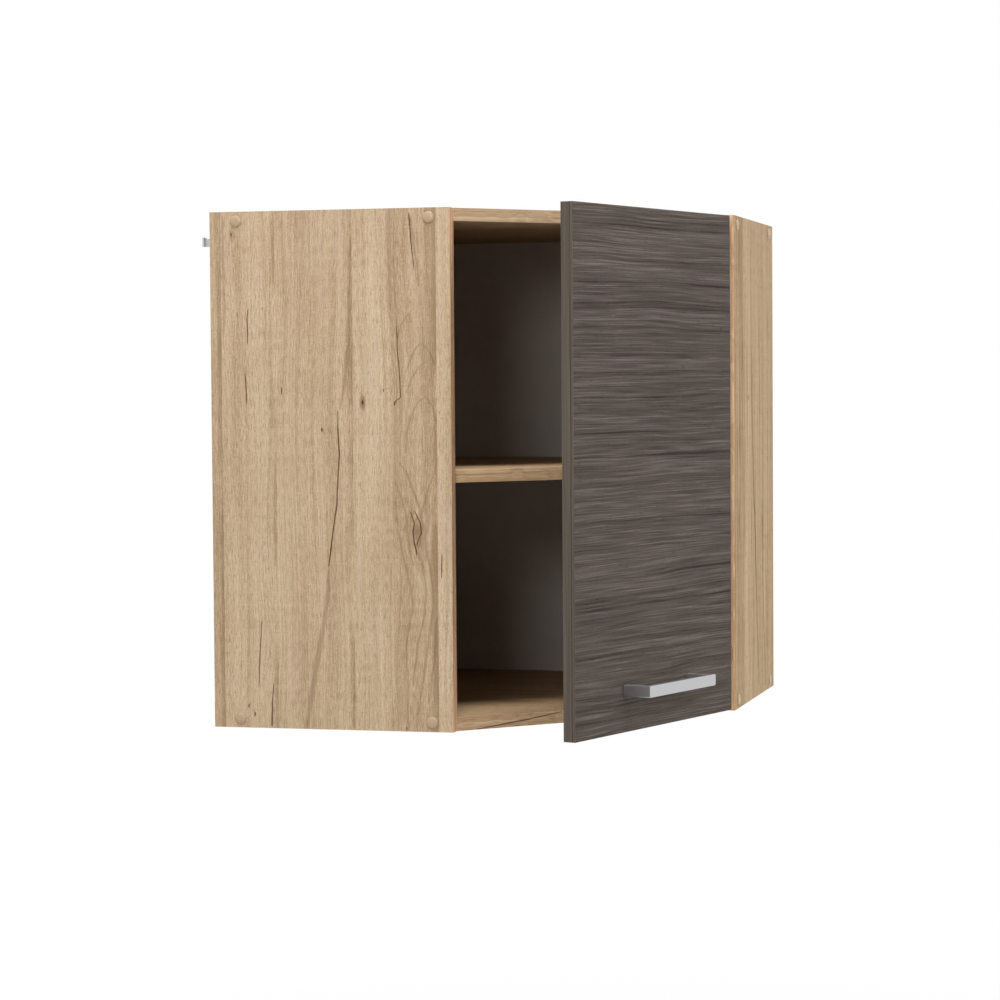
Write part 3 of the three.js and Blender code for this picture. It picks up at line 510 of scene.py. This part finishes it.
def left_oak(web, place):
    x, y, z = web.parts(place)
    return oak_look(web, web.sum(x, WALL_MM), web.sum(y, WALL_MM), z, 2.0, LEFT_STRIPS, LEFT_KNOTS,
                    LEFT_CRACKS, (LEFT_VEINS, *LEFT_VEIN_LOOK))


def right_oak(web, place):
    x, y, z = web.parts(place)
    return oak_look(web, web.minus(WALL_MM, y), web.minus(WALL_MM, x), z, 31.0, RIGHT_STRIPS, RIGHT_KNOTS,
                    RIGHT_CRACKS, (RIGHT_VEINS, *RIGHT_VEIN_LOOK), streaks=0.8, tint=(255, 251, 243))


def chip_look(web, place):
    """Raw particle board: pressed flakes of light and dark wood."""
    flakes = web.add("ShaderNodeTexVoronoi", {"Vector": place, "Scale": 0.55, "Randomness": 1.0}).outputs
    grain = web.noise(place, 3.0, 0.6)
    tone = web.add("ShaderNodeSeparateColor", {0: flakes["Color"]}).outputs[0]
    tone = web.sum(web.times(tone, 0.7), web.times(grain, 0.3))
    shades = [(0.1, paint(128, 98, 68)), (0.5, paint(178, 148, 112)), (0.9, paint(206, 180, 144))]
    return web.ramp(tone, shades), web.sum(flakes["Distance"], web.times(grain, 0.5))


def band_oak(direction, tone):
    """An oak band's look, its grain along a direction. tone multiplies its red, green and blue."""

    def look(web, place):
        run = web.reach(place, direction)
        side = web.moved(place, web.scaled(direction, web.times(run, -1.0)))
        drift = web.times(web.sway(web.vector(web.times(run, 0.016), 5.0, 0.0), 1.0), 14.0)
        side = web.moved(side, web.vector(drift, drift, drift))
        long = web.scaled(direction, web.times(run, 0.006))
        grain = web.noise(web.moved(web.scaled(side, 0.45), long), 3.0, 0.6)
        short = web.scaled(direction, web.times(run, 0.05))
        pores = web.step(web.noise(web.moved(web.scaled(place, 0.9), short), 1.0), 0.62, 0.75)
        shades = [paint(*(t * c for t, c in zip(tone, shade))) for shade in BAND_SHADES]
        colour = web.ramp(grain, list(zip((0.3, 0.5, 0.68), shades)))
        return web.mix(web.times(pores, 0.4), colour, BAND_PORE), web.times(grain, 0.5)

    return look


left_finish = foil("oak foil left", left_oak)
right_finish = foil("oak foil right", right_oak)
chip_finish = foil("raw particle board", chip_look, 0.85, 0.1, 0.25)
# The upright band's tone makes it redder, its own colour, and lighter, which is painted light on the panels'
# front edges.
upright_band_painted_light = foil("oak band upright", band_oak((0, 0, 1), (1.13, 1.07, 1.05)), 0.5)


def copy_of(node, name):
    """A merged copy of a CAD part's mesh, its flat faces joined up, as a new piece."""
    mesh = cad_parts[node].data.copy()
    mesh.name = name
    mesh.materials.clear()
    work = bmesh.new()
    work.from_mesh(mesh)
    bmesh.ops.remove_doubles(work, verts=work.verts, dist=1e-6)
    bmesh.ops.dissolve_limit(work, angle_limit=math.radians(0.5), verts=work.verts, edges=work.edges)
    for face in work.faces:
        face.smooth = False
    work.to_mesh(mesh)
    work.free()
    return put(name, mesh)


def trim(piece, point, normal):
    """Cuts off what lies past a plane, and closes the cut."""
    work = bmesh.new()
    work.from_mesh(piece.data)
    cut = bmesh.ops.bisect_plane(work, geom=[*work.verts, *work.edges, *work.faces], plane_co=point,
                                 plane_no=normal, clear_outer=True, dist=1e-7)
    edges = [g for g in cut["geom_cut"] if isinstance(g, bmesh.types.BMEdge)]
    bmesh.ops.edgeloop_fill(work, edges=edges)
    bmesh.ops.recalc_face_normals(work, faces=work.faces)
    work.to_mesh(piece.data)
    work.free()


def finish(piece, materials, first=None):
    """Gives a piece its materials. Where there are two, first(normal) says which faces take the first."""
    for material in materials:
        piece.data.materials.append(material)
    if first:
        for face in piece.data.polygons:
            face.material_index = 0 if first(face.normal) else 1


def round_off(piece, width=ARRIS, segments=2, angle=32.0):
    """Takes the sharpness off the arrises."""
    modifier = piece.modifiers.new("arris", "BEVEL")
    modifier.limit_method = "ANGLE"
    modifier.angle_limit = math.radians(angle)
    modifier.width = width
    modifier.segments = segments
    modifier.use_clamp_overlap = True
    return piece


def slab(name, corner, run, rise, depth):
    """A strip or block from one corner along three directions, given as vectors with their lengths."""
    corner, run, rise, depth = (Vector(v) for v in (corner, run, rise, depth))
    work = bmesh.new()
    ends = [(i, j, k) for i in (0, 1) for j in (0, 1) for k in (0, 1)]
    at = {(i, j, k): work.verts.new(corner + i * run + j * rise + k * depth) for i, j, k in ends}
    for axis in range(3):
        for side in (0, 1):
            a, b, c, d = (at[end] for end in ends if end[axis] == side)
            work.faces.new([a, b, d, c])
    bmesh.ops.recalc_face_normals(work, faces=work.faces)
    mesh = bpy.data.meshes.new(name)
    work.to_mesh(mesh)
    work.free()
    return put(name, mesh)


# Foil, the panel's rear corner, and the directions to its front edge and through it
SIDES = {
    "left": (left_finish, Vector((-SIDE_HALF, -SIDE_HALF, 0)), Vector((1, 0, 0)), Vector((0, 1, 0))),
    "right": (right_finish, Vector((SIDE_HALF, SIDE_HALF, 0)), Vector((0, -1, 0)), Vector((-1, 0, 0))),
}
for side, (decor, corner, forward, through) in SIDES.items():
    front = corner + forward * SIDE_DEPTH
    board = copy_of(f"side_panel_{side}", f"side_board_{side}")
    trim(board, front - forward * BAND, forward)
    trim(board, up(CASE_HEIGHT - THIN_BAND), up(1))
    trim(board, up(THIN_BAND), up(-1))
    finish(board, [decor, chip_finish], lambda normal, t=through: abs(normal.dot(t)) > FACING)
    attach(round_off(board, FOIL_ARRIS, 1), "case")
    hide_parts(f"side_panel_{side}")
    level_run = forward * (SIDE_DEPTH - BAND)
    bands = {
        "front": (front - forward * BAND, forward * BAND, up(CASE_HEIGHT)),
        "top": (corner + up(CASE_HEIGHT - THIN_BAND), level_run, up(THIN_BAND)),
        "bottom": (corner, level_run, up(THIN_BAND)),
    }
    for edge, (start, run, rise) in bands.items():
        band = slab(f"side_band_{side}_{edge}", start, run, rise, through * BOARD)
        finish(band, [upright_band_painted_light if edge == "front" else decor])
        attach(round_off(band, ARRIS if edge == "front" else 0.12 * MM), "case")

# ---- The top, the bottom and the shelf ----
# Five-sided boards of the same particle board and foil, their grain along the room's back wall. Each
# has a band on its diagonal front edge; the edges that meet the side panels and walls stay raw. Their
# print is tinted warmer, its own colour, and darker, which is painted shade for the inside of the case.
FRONT_RUN = Vector((1, 1, 0)).normalized()
FRONT_OUT = Vector((1, -1, 0)).normalized()
BAND_START = 1000 * Vector((SIDE_FRONT, BOARD - SIDE_HALF, 0)).dot(FRONT_RUN)
BOTTOM_CRACK = [[[(27, 0.3, 0.2), (60, 3.7, 0.45), (100, 7.8, 0.5), (130, 11.6, 0.4), (150, 14.2, 0.1)]]]
LEVEL_STRIPS = [(0.0, 0.62), (0.3, 0.45), (0.55, 0.58), (0.8, 0.4)]
LEVEL_KNOTS = [(330, 210, 16.0, 9.0, 0.3)]


# The tint makes the print warmer, its own colour, and darker, which is painted shade for the case's inside.
def level_oak_painted_shade(seed):
    def look(web, place):
        x, y, _ = web.parts(place)
        return oak_look(web, web.sum(y, WALL_MM), 0.0, web.sum(x, WALL_MM), seed, LEVEL_STRIPS,
                        LEVEL_KNOTS, length=600.0, breadth=600.0, tint=(237, 227, 214))

    return look


def bottom_band(web, place):
    """The bottom's band: its piece of the print has one long crack that climbs across it."""
    colour, height = band_oak(tuple(FRONT_RUN), (0.96, 0.95, 0.93))(web, place)
    run = web.reach(place, tuple(FRONT_RUN), BAND_START)
    crack = marks_of(web, web.parts(place)[2], run, 400.0, 16.0, BOTTOM_CRACK)
    return web.mix(web.times(crack, 0.85), colour, OAK_CRACK), web.minus(height, crack)


# Name, body, the seed of its print, and the look of its band
LEVELS = {
    # The top's band tone makes it darker than the print: painted shade on its lit front edge.
    "top_panel": ("top", "case", 51.0, band_oak(tuple(FRONT_RUN), (0.95, 0.95, 0.95))),
    "bottom_panel": ("bottom", "case", 67.0, bottom_band),
    # The shelf's band tone makes it lighter than the print: painted light, where the door shades its front
    # edge.
    "shelf": ("shelf", "shelf", 83.0, band_oak(tuple(FRONT_RUN), (1.07, 1.06, 1.03))),
}
for node, (name, body, seed, band_look) in LEVELS.items():
    low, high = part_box(node)
    board = copy_of(node, f"{name}_board")
    edge = max(v.co.dot(FRONT_OUT) for v in board.data.vertices)
    trim(board, FRONT_OUT * (edge - BAND), FRONT_OUT)
    decor = foil(f"oak foil {name}", level_oak_painted_shade(seed))
    finish(board, [decor, chip_finish], lambda normal: abs(normal.z) > FACING)
    ends = [v.co for v in board.data.vertices if v.co.dot(FRONT_OUT) > edge - BAND - 1e-5]
    start = min(ends, key=lambda co: co.dot(FRONT_RUN))
    run = max(co.dot(FRONT_RUN) for co in ends) - start.dot(FRONT_RUN)
    corner = (start.x, start.y, low.z)
    band = slab(f"{name}_band", corner, FRONT_OUT * BAND, FRONT_RUN * run, up(high.z - low.z))
    finish(band, [foil(f"oak band of the {name}", band_look, 0.5)])
    for piece, width in ((board, FOIL_ARRIS), (band, ARRIS)):
        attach(round_off(piece, width), body)
    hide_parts(node)

# ---- The back ----
# Two sheets of 3 mm hardboard slid into grooves, lacquered white inside and bare brown outside, and a
# white foiled batten that joins them in the rear corner.
LACQUER = (paint(199, 193, 187), paint(213, 207, 202))
HARDBOARD = [(0.3, paint(108, 78, 52)), (0.52, paint(134, 100, 68)), (0.7, paint(158, 122, 86))]
MESH_PRINT = 2.6


def white_look(web, place):
    """White lacquer on hardboard, a little uneven."""
    mottle = web.noise(web.scaled(place, 0.012), 3.0, 0.6)
    peel = web.noise(web.scaled(place, 0.5), 2.0)
    return web.mix(mottle, *LACQUER), web.times(peel, 0.4)


def hardboard_look(web, place):
    """Bare hardboard: matted brown fibres with a fine mesh print."""
    fibres = web.noise(web.scaled(place, 0.7), 4.0, 0.7)
    mottle = web.noise(web.scaled(place, 0.02), 3.0, 0.6)
    x, y, z = web.parts(place)
    waves = [web.calc("SINE", web.times(v, MESH_PRINT)) for v in (web.sum(x, y), z)]
    colour = web.ramp(web.sum(web.times(fibres, 0.7), web.times(mottle, 0.3)), HARDBOARD)
    return colour, web.sum(web.times(*waves, 0.3), web.times(fibres, 0.5))


white_finish = foil("white lacquer", white_look, 0.5, 0.2, 0.05)
hardboard_finish = foil("bare hardboard", hardboard_look, 0.8, 0.1, 0.3)
for side, inward in (("left", Vector((1, 0, 0))), ("right", Vector((0, -1, 0)))):
    sheet = copy_of(f"back_panel_{side}", f"back_sheet_{side}")
    finish(sheet, [white_finish, hardboard_finish], lambda normal, n=inward: normal.dot(n) > FACING)
    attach(round_off(sheet, 0.2 * MM, 1), "case")
    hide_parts(f"back_panel_{side}")
batten = copy_of("corner_post", "corner_batten")
finish(batten, [white_finish, chip_finish], lambda normal: abs(normal.z) <= FACING)
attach(round_off(batten, 0.6 * MM, 2), "case")
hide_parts("corner_post")

# ---- The door ----
# A 16 mm board with a grey-brown wood print, its grain level, and a band of the same print glued
# round all four edges. It stands ajar on its hinges.
DOOR_ORIGIN = Vector((0.2820551, -0.0115358, 0))
DOOR_RUN = Vector((0.3116716, 0.9501899, 0))
DOOR_IN = Vector((-0.9501899, 0.3116716, 0))
DOOR_FACE_MM = 1000 * (DOOR_ORIGIN.dot(DOOR_IN) - BOARD)
DOOR_BAND = 0.9 * MM
DOOR_MID = paint(84, 76, 70)
DOOR_DARK = paint(48, 40, 38)
DOOR_LIGHT = paint(122, 113, 106)
DOOR_EDGE_SHADES = [(0.12, DOOR_DARK), (0.5, paint(87, 78, 69)), (0.88, paint(114, 104, 94))]
# The print's main dark lines, each a height in mm and a strength, with how far one fades below and
# above it. One colour ramp holds ten of them. A speck is its place across the door, height and size.
DOOR_LINES = [(619.5, 0.5), (610, 0.55), (571, 0.6), (543, 0.9), (518, 0.7), (513, 0.5), (488, 0.9),
              (456, 0.95), (434.5, 0.6), (417, 0.5), (405, 0.6), (388, 0.6), (363, 0.8), (335, 0.8),
              (300, 0.4), (284, 0.5), (256, 0.95), (231, 0.8), (224, 0.4), (190, 0.9), (167, 0.85),
              (155, 0.75), (144, 0.5), (131, 0.5), (112, 0.4), (98, 0.6), (74, 0.5), (38, 0.5), (20, 0.5)]
LINE_BELOW, LINE_ABOVE = 2.6, 1.3
LINES_HIGH = 640.0
LINES_IN_RAMP = 10
DOOR_SPECKS = ((24.4, 489.1, 1.5), (31.8, 258.5, 1.1))


def grey_wood(web, level, run, through):
    """Grey-brown wood print: level, gently waving grain with dark lines and pale streaks."""
    run = web.sum(run, web.times(web.calc("GREATER_THAN", through, BOARD_MIDDLE_MM), 900.0))
    slow = web.sway(web.vector(web.over(run, 260.0), web.over(level, 75.0), 3.0), 1.0)
    quick = web.sway(web.vector(web.over(run, 62.0), web.over(level, 20.0), 9.0), 1.0)
    waved = web.sum(level, web.times(slow, 10.0), web.times(quick, 1.4))

    def field(tall, long, detail, offset):
        """Noise from -0.5 to 0.5 in marks so tall and so long."""
        return web.sway(web.vector(web.over(run, long), web.over(waved, tall), offset), detail, 0.55)

    lines = 0.0
    for first in range(0, len(DOOR_LINES), LINES_IN_RAMP):
        stops = []
        for height, strength in sorted(DOOR_LINES[first:first + LINES_IN_RAMP]):
            for at, shade in ((height - LINE_BELOW, 0), (height, strength), (height + LINE_ABOVE, 0)):
                stops.append((at / LINES_HIGH, grey(shade)))
        lines = web.larger(lines, web.ramp(web.over(waved, LINES_HIGH), stops))
    faded = web.step(field(22.0, 200.0, 1.0, 31.0), -0.24, 0.02)
    body = field(13.0, 420.0, 2.0, 0.0)
    grain = field(2.3, 260.0, 2.0, 5.0)
    hair = field(1.3, 75.0, 0.0, 12.0)
    pores = web.step(field(1.4, 13.0, 1.0, 44.0), 0.09, 0.22)
    streak = web.step(field(1.9, 30.0, 1.0, 20.0), 0.06, 0.24)
    streak = web.times(streak, web.step(field(26.0, 80.0, 1.0, 27.0), -0.02, 0.14))
    tone = 0.5
    shares = ((body, 0.52), (grain, 0.68), (hair, 0.5), (web.times(lines, faded), -0.4),
              (streak, 0.14), (pores, -0.14))
    for mark, share in shares:
        tone = web.sum(tone, web.times(mark, share))
    colour = web.ramp(tone, [(0.12, DOOR_DARK), (0.5, DOOR_MID), (0.88, DOOR_LIGHT)])
    return colour, web.sum(web.times(hair, 0.7), web.times(grain, 0.5), web.times(lines, -0.4))


def door_face(web, place):
    run = web.times(-1.0, web.reach(place, tuple(DOOR_RUN), 1000 * DOOR_ORIGIN.dot(DOOR_RUN)))
    through = web.reach(place, tuple(DOOR_IN), DOOR_FACE_MM)
    level = web.parts(place)[2]
    colour, height = grey_wood(web, level, run, through)
    specks = 0.0
    for speck_run, speck_level, size in DOOR_SPECKS:
        aside, over = web.gap(run, speck_run), web.gap(level, speck_level)
        far = web.calc("SQRT", web.sum(web.times(aside, aside), web.times(over, over)))
        specks = web.larger(specks, web.step(far, size * 1.4, size * 0.4))
    front = web.calc("LESS_THAN", through, BOARD_MIDDLE_MM)
    return web.mix(web.times(specks, front, 0.8), colour, paint(38, 32, 30)), height


def door_upright_edge(web, place):
    """The band on an upright edge: its grain runs up it, with one darker line."""
    through = web.reach(place, tuple(DOOR_IN), DOOR_FACE_MM)
    level = web.parts(place)[2]
    wander = web.times(web.sway(web.vector(0.0, 2.0, web.over(level, 130.0)), 1.0), 2.2)
    across = web.sum(through, wander)
    grain = web.sway(web.vector(web.times(across, 0.62), 4.0, web.over(level, 260.0)), 2.0)
    hair = web.noise(web.vector(web.times(across, 1.7), 8.0, web.over(level, 60.0)), 2.0)
    line = web.times(web.step(web.gap(across, 3.6), 1.1, 0.2), 0.5)
    tone = web.sum(0.5, web.times(grain, 0.7), web.times(web.minus(hair, 0.5), 0.3), web.times(line, -0.5))
    return web.ramp(tone, DOOR_EDGE_SHADES), hair


door_finish = foil("grey wood foil", door_face, 0.6, 0.08, 0.2)
door_edge_finish = foil("grey wood band", door_upright_edge, 0.5, 0.2, 0.1)
door = copy_of("door_panel", "door_board")
door_width = max(-(v.co - DOOR_ORIGIN).dot(DOOR_RUN) for v in door.data.vertices)
door_low, door_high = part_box("door_panel")
trim(door, DOOR_ORIGIN - DOOR_RUN * DOOR_BAND, DOOR_RUN)
trim(door, DOOR_ORIGIN - DOOR_RUN * (door_width - DOOR_BAND), -DOOR_RUN)
trim(door, up(door_high.z - DOOR_BAND), up(1))
trim(door, up(door_low.z + DOOR_BAND), up(-1))
finish(door, [door_finish, chip_finish], lambda normal: abs(normal.dot(DOOR_IN)) > FACING)
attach(round_off(door, FOIL_ARRIS, 1), "door")
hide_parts("door_panel")
outer = DOOR_ORIGIN - DOOR_IN * BOARD
foot, head = up(door_low.z), up(door_high.z - DOOR_BAND)
inset = DOOR_RUN * DOOR_BAND
upright = up(door_high.z - door_low.z)
level_run = -DOOR_RUN * (door_width - 2 * DOOR_BAND)
edges = {
    "hinge": (outer + foot, -inset, upright, door_edge_finish),
    "free": (outer + foot - DOOR_RUN * door_width, inset, upright, door_edge_finish),
    "top": (outer + head - inset, level_run, up(DOOR_BAND), door_finish),
    "bottom": (outer + foot - inset, level_run, up(DOOR_BAND), door_finish),
}
for edge, (start, run, rise, edge_finish) in edges.items():
    band = slab(f"door_band_{edge}", start, run, rise, DOOR_IN * BOARD)
    finish(band, [edge_finish])
    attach(round_off(band, 0.45 * MM), "door")

# ---- The handle ----
# A bow handle of flat section, one level bar on two legs, in brushed satin metal. Two screws hold it,
# put in through the door from its back.
PLAIN_SCRATCH, BRUSHED_SCRATCH = 1.6, 5.0
BRUSH_DRAW = -0.97


def dulled(colour):
    return (*(c * 0.86 for c in colour[:3]), 1.0)


def metal(name, colour, roughness, brushed=None):
    """Bare or plated metal. brushed is the direction of the fine brush lines, if it has them."""
    made, web, place, shader = blank_finish(name)
    if brushed:
        place = web.moved(place, web.scaled(brushed, web.times(web.reach(place, brushed), BRUSH_DRAW)))
    scratch = web.noise(web.scaled(place, BRUSHED_SCRATCH if brushed else PLAIN_SCRATCH), 3.0, 0.6)
    cloud = web.noise(web.scaled(place, 0.09))
    shine = web.sum(web.times(scratch, 0.6), web.times(cloud, 0.4))
    shader["Metallic"].default_value = 1.0
    web.feed(shader["Base Color"], web.mix(shine, dulled(colour), colour))
    web.feed(shader["Roughness"], web.sum(roughness - 0.06, web.times(scratch, 0.12)))
    emboss(web, shader, scratch, 0.02, 0.35)
    return made


handle = copy_of("handle", "bow_handle")
finish(handle, [metal("satin handle metal", paint(199, 199, 200), 0.34, tuple(DOOR_RUN))])
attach(round_off(handle, 0.35 * MM, 2, 20.0), "door")
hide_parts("handle")

# ---- The cover caps ----
# Domed plugs of oak-coloured plastic, pressed by a short stem into the sockets of the case screws. One
# shape sits on all eight heads, so a node tree stamps it at a point and turns it to face outwards.
CAP_RISE = 1.9 * MM
CAP_SIZES = {"Radius": 7.2 * MM, "Rim": 0.3 * MM, "Rise": CAP_RISE, "Stem": 2.6 * MM}
DOME_POWER = 0.55
STEM_OVERLAP = 0.05 * MM


class Stamp(Web):
    """A geometry tree that stamps a shape on each point of a mesh, its +z turned along "facing"."""

    def __init__(self, name, sizes):
        super().__init__(bpy.data.node_groups.new(name, "GeometryNodeTree"))
        kinds = {"Points": "Geometry", **{size: "Float" for size in sizes}, "Metal": "Material"}
        for title, kind in kinds.items():
            self.tree.interface.new_socket(title, in_out="INPUT", socket_type="NodeSocket" + kind)
        self.tree.interface.new_socket("Shape", in_out="OUTPUT", socket_type="NodeSocketGeometry")
        self.inputs = self.add("NodeGroupInput").outputs
        self.sizes = [self.inputs[size] for size in sizes]

    def shape(self, kind, values, **settings):
        return self.add("GeometryNode" + kind, values, **settings).outputs[0]

    def drum(self, radius, height, sides, rings=1, lift=0.0):
        """A cylinder that stands on z = lift."""
        sizes = {"Vertices": sides, "Fill Segments": rings, "Radius": radius, "Depth": height}
        made = self.shape("MeshCylinder", sizes, fill_type="TRIANGLE_FAN")
        offset = self.vector(0.0, 0.0, self.sum(self.times(height, 0.5), lift))
        return self.shape("Transform", {"Geometry": made, "Translation": offset})

    def stem(self, radius, length):
        """A round stem that hangs from a little above z = 0."""
        return self.drum(radius, length, 12, 1, self.sum(self.times(length, -1.0), STEM_OVERLAP))

    def crown(self, disc, radius, thickness, rise, power=None):
        """Raises the top face of a disc into a dome and shades it smooth."""
        x, y, z = self.parts(self.add("GeometryNodeInputPosition").outputs[0])
        far = self.over(self.sum(self.times(x, x), self.times(y, y)), self.times(radius, radius))
        swell = self.calc("SUBTRACT", 1.0, far, clamp=True)
        if power:
            swell = self.calc("POWER", swell, power)
        is_top = self.add("FunctionNodeCompare", {0: z, 1: self.times(thickness, 0.5)}, data_type="FLOAT",
                          operation="GREATER_THAN").outputs[0]
        lift = self.vector(0.0, 0.0, self.times(swell, rise))
        raised = self.shape("SetPosition", {"Geometry": disc, "Selection": is_top, "Offset": lift})
        return self.shape("SetShadeSmooth", {"Geometry": raised, "Selection": is_top})

    def close(self, *shapes):
        """Joins the shapes, stamps them on the points, and makes that the tree's result."""
        joined = self.add("GeometryNodeJoinGeometry")
        for shape in shapes:
            self.tree.links.new(shape, joined.inputs[0])
        facing = self.shape("InputNamedAttribute", {"Name": "facing"}, data_type="FLOAT_VECTOR")
        turned = self.add("FunctionNodeAlignRotationToVector", {"Vector": facing}, axis="Z").outputs[0]
        values = {"Points": self.inputs["Points"], "Instance": joined.outputs[0], "Rotation": turned}
        real = self.shape("RealizeInstances", {0: self.shape("InstanceOnPoints", values)})
        done = self.shape("SetMaterial", {"Geometry": real, "Material": self.inputs["Metal"]})
        self.add("NodeGroupOutput", {0: done})
        return self.tree


def stamp(name, tree, places, sizes, material):
    """Runs a stamping tree on places, each a point and a direction, and keeps the plain mesh."""
    host_mesh = bpy.data.meshes.new(name + " points")
    host_mesh.from_pydata([tuple(point) for point, facing in places], [], [])
    turns = host_mesh.attributes.new("facing", "FLOAT_VECTOR", "POINT")
    for spot, (point, facing) in zip(turns.data, places):
        spot.vector = facing
    host = put(name + " host", host_mesh)
    modifier = host.modifiers.new("stamp", "NODES")
    modifier.node_group = tree
    for item in tree.interface.items_tree:
        if item.name in sizes:
            modifier[item.identifier] = sizes[item.name]
        elif item.name == "Metal":
            modifier[item.identifier] = material
    mesh = bpy.data.meshes.new_from_object(host.evaluated_get(bpy.context.evaluated_depsgraph_get()))
    mesh.name = name
    bpy.data.objects.remove(host)
    return put(name, mesh)


def plastic(name, colour, roughness, through=0.0):
    """Moulded plastic or rubber: an even colour with faint flow marks and a fine texture."""
    made, web, place, shader = blank_finish(name)
    flow = web.noise(web.scaled(place, 0.16))
    texture = web.noise(web.scaled(place, 3.0))
    web.feed(shader["Base Color"], web.mix(flow, dulled(colour), colour))
    web.feed(shader["Roughness"], web.sum(roughness, web.times(texture, 0.1)))
    shader["Specular IOR Level"].default_value = 0.4
    shader["Transmission Weight"].default_value = through
    emboss(web, shader, texture, 0.03, 0.4)
    return made


def named(start):
    """The CAD nodes whose names start so."""
    return [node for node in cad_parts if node.startswith(start)]


cap = Stamp("cover cap", list(CAP_SIZES))
radius, rim, rise, stem = cap.sizes
dome = cap.crown(cap.drum(radius, rim, 40, 12), radius, rim, cap.minus(rise, rim), DOME_POWER)
cap_tree = cap.close(dome, cap.stem(cap.times(radius, 0.22), stem))
cap_finish = plastic("oak coloured plastic", paint(186, 159, 127), 0.18)
caps = []
for node in named("cover_cap"):
    low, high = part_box(node)
    place = (low + high) / 2
    if node.startswith("cover_cap_left"):
        facing = Vector((0, -1, 0))
        place.y = low.y + CAP_RISE
    else:
        facing = Vector((1, 0, 0))
        place.x = high.x - CAP_RISE
    caps.append((place, facing))
cover_caps = stamp("cover_caps", cap_tree, caps, CAP_SIZES, cap_finish)
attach(cover_caps, "case")
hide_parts(*named("cover_cap"))

# ---- The small screws ----
# Zinc plated countersunk wood screws hold the hinge plates and the cups, and pan-head screws hold the
# handle from behind. Each head has a cross recess. One tree stamps both kinds.
WOOD_SCREW = {"Head radius": 3.5 * MM, "Head height": 1.4 * MM, "Crown": 0.5 * MM,
              "Shank radius": 1.7 * MM, "Length": 10.5 * MM}
HANDLE_SCREW = {"Head radius": 4.0 * MM, "Head height": 1.3 * MM, "Crown": 1.1 * MM,
                "Shank radius": 2.0 * MM, "Length": 27.0 * MM}
screw = Stamp("cross screw", list(WOOD_SCREW))
head, deep, crown, shank, length = screw.sizes
pan = screw.crown(screw.drum(head, deep, 28, 6), head, deep, crown)
cut = screw.add("GeometryNodeMeshBoolean", {"Mesh 1": pan}, operation="DIFFERENCE", solver="EXACT")
lift = screw.vector(0.0, 0.0, screw.sum(screw.times(deep, 1.3), crown))
long, thin, tall = screw.times(head, 1.1), screw.times(head, 0.28), screw.times(deep, 2.0)
for size in (screw.vector(long, thin, tall), screw.vector(thin, long, tall)):
    arm = screw.shape("Transform", {"Geometry": screw.shape("MeshCube", {"Size": size}), "Translation": lift})
    screw.tree.links.new(arm, cut.inputs["Mesh 2"])
screw_tree = screw.close(cut.outputs[0], screw.stem(shank, length))
steel = metal("nickel plated steel", paint(172, 171, 168), 0.3)
zinc = metal("zinc plate", paint(196, 196, 190), 0.36)


def screws(name, body, nodes, facing, sizes, material):
    """Stamps screws in place of the CAD ones, their heads towards facing."""
    facing = Vector(facing).normalized()
    places = []
    for node in nodes:
        top = max(v.co.dot(facing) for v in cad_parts[node].data.vertices)
        middle = sum((Vector(v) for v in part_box(node)), Vector()) / 2
        base = top - middle.dot(facing) - sizes["Head height"] - sizes["Crown"]
        places.append((middle + facing * base, facing))
    made = stamp(name, screw_tree, places, sizes, material)
    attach(made, body)
    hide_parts(*nodes)


screws("plate_fixings", "case", named("plate_screw"), (-1, 0, 0), WOOD_SCREW, zinc)
screws("cup_fixings", "door", named("cup_screw"), DOOR_IN, WOOD_SCREW, zinc)
screws("handle_fixings", "door", named("handle_screw"), DOOR_IN, HANDLE_SCREW, steel)

# ---- Pressed and cast hardware ----
# Hinge plates, arms, links and cups of pressed steel, the hangers' zinc claws and white housings, and
# clear bumpers on the door. Each keeps the CAD part's shape, with its edges rounded as pressing leaves
# them. The case screws, shelf pins and hanger adjusters stay as they are, in plated steel and zinc.
white_plastic = plastic("white plastic", paint(226, 225, 220), 0.42)
rubber = plastic("clear rubber", paint(214, 214, 208), 0.3, 0.35)
claw_metal = metal("zinc claw", paint(190, 190, 188), 0.42)
HINGES, HANGERS = ("upper", "lower"), ("left", "right")
# A pair's names and its two ends, body, material, slot, and how far its edges are rounded, in mm
HARDWARE = [
    ("hinge_{}_plate", HINGES, "case", zinc, "zinc", 0.3),
    ("hinge_{}_arm", HINGES, "case", steel, "steel", 0.35),
    ("hinge_{}_cup", HINGES, "door", steel, "steel", 0.25),
    ("hinge_{}_outer_link", HINGES, "hinge_outer_links", steel, "steel", 0.2),
    ("hinge_{}_inner_link", HINGES, "hinge_inner_links", steel, "steel", 0.2),
    ("hanger_housing_{}", HANGERS, "case", white_plastic, "white_plastic", 0.6),
    ("hanger_claw_{}", HANGERS, "claw_{}", claw_metal, "zinc", 0.3),
    ("door_bumper_{}", ("top", "bottom"), "door", rubber, "clear_rubber", 0.5),
]
for pattern, ends, body, material, slot, width in HARDWARE:
    for end in ends:
        node = pattern.format(end)
        piece = copy_of(node, node + "_finished")
        finish(piece, [material])
        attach(round_off(piece, width * MM, 2, 40.0), body.format(end))
        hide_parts(node)
for node in named(("case_screw", "shelf_pin", "hanger_adjuster")):
    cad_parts[node].data.materials.clear()
    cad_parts[node].data.materials.append(zinc if node.startswith("hanger") else steel)

size = {"cad": [list(cad_low), list(cad_high)], "visual": [list(v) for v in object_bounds()]}
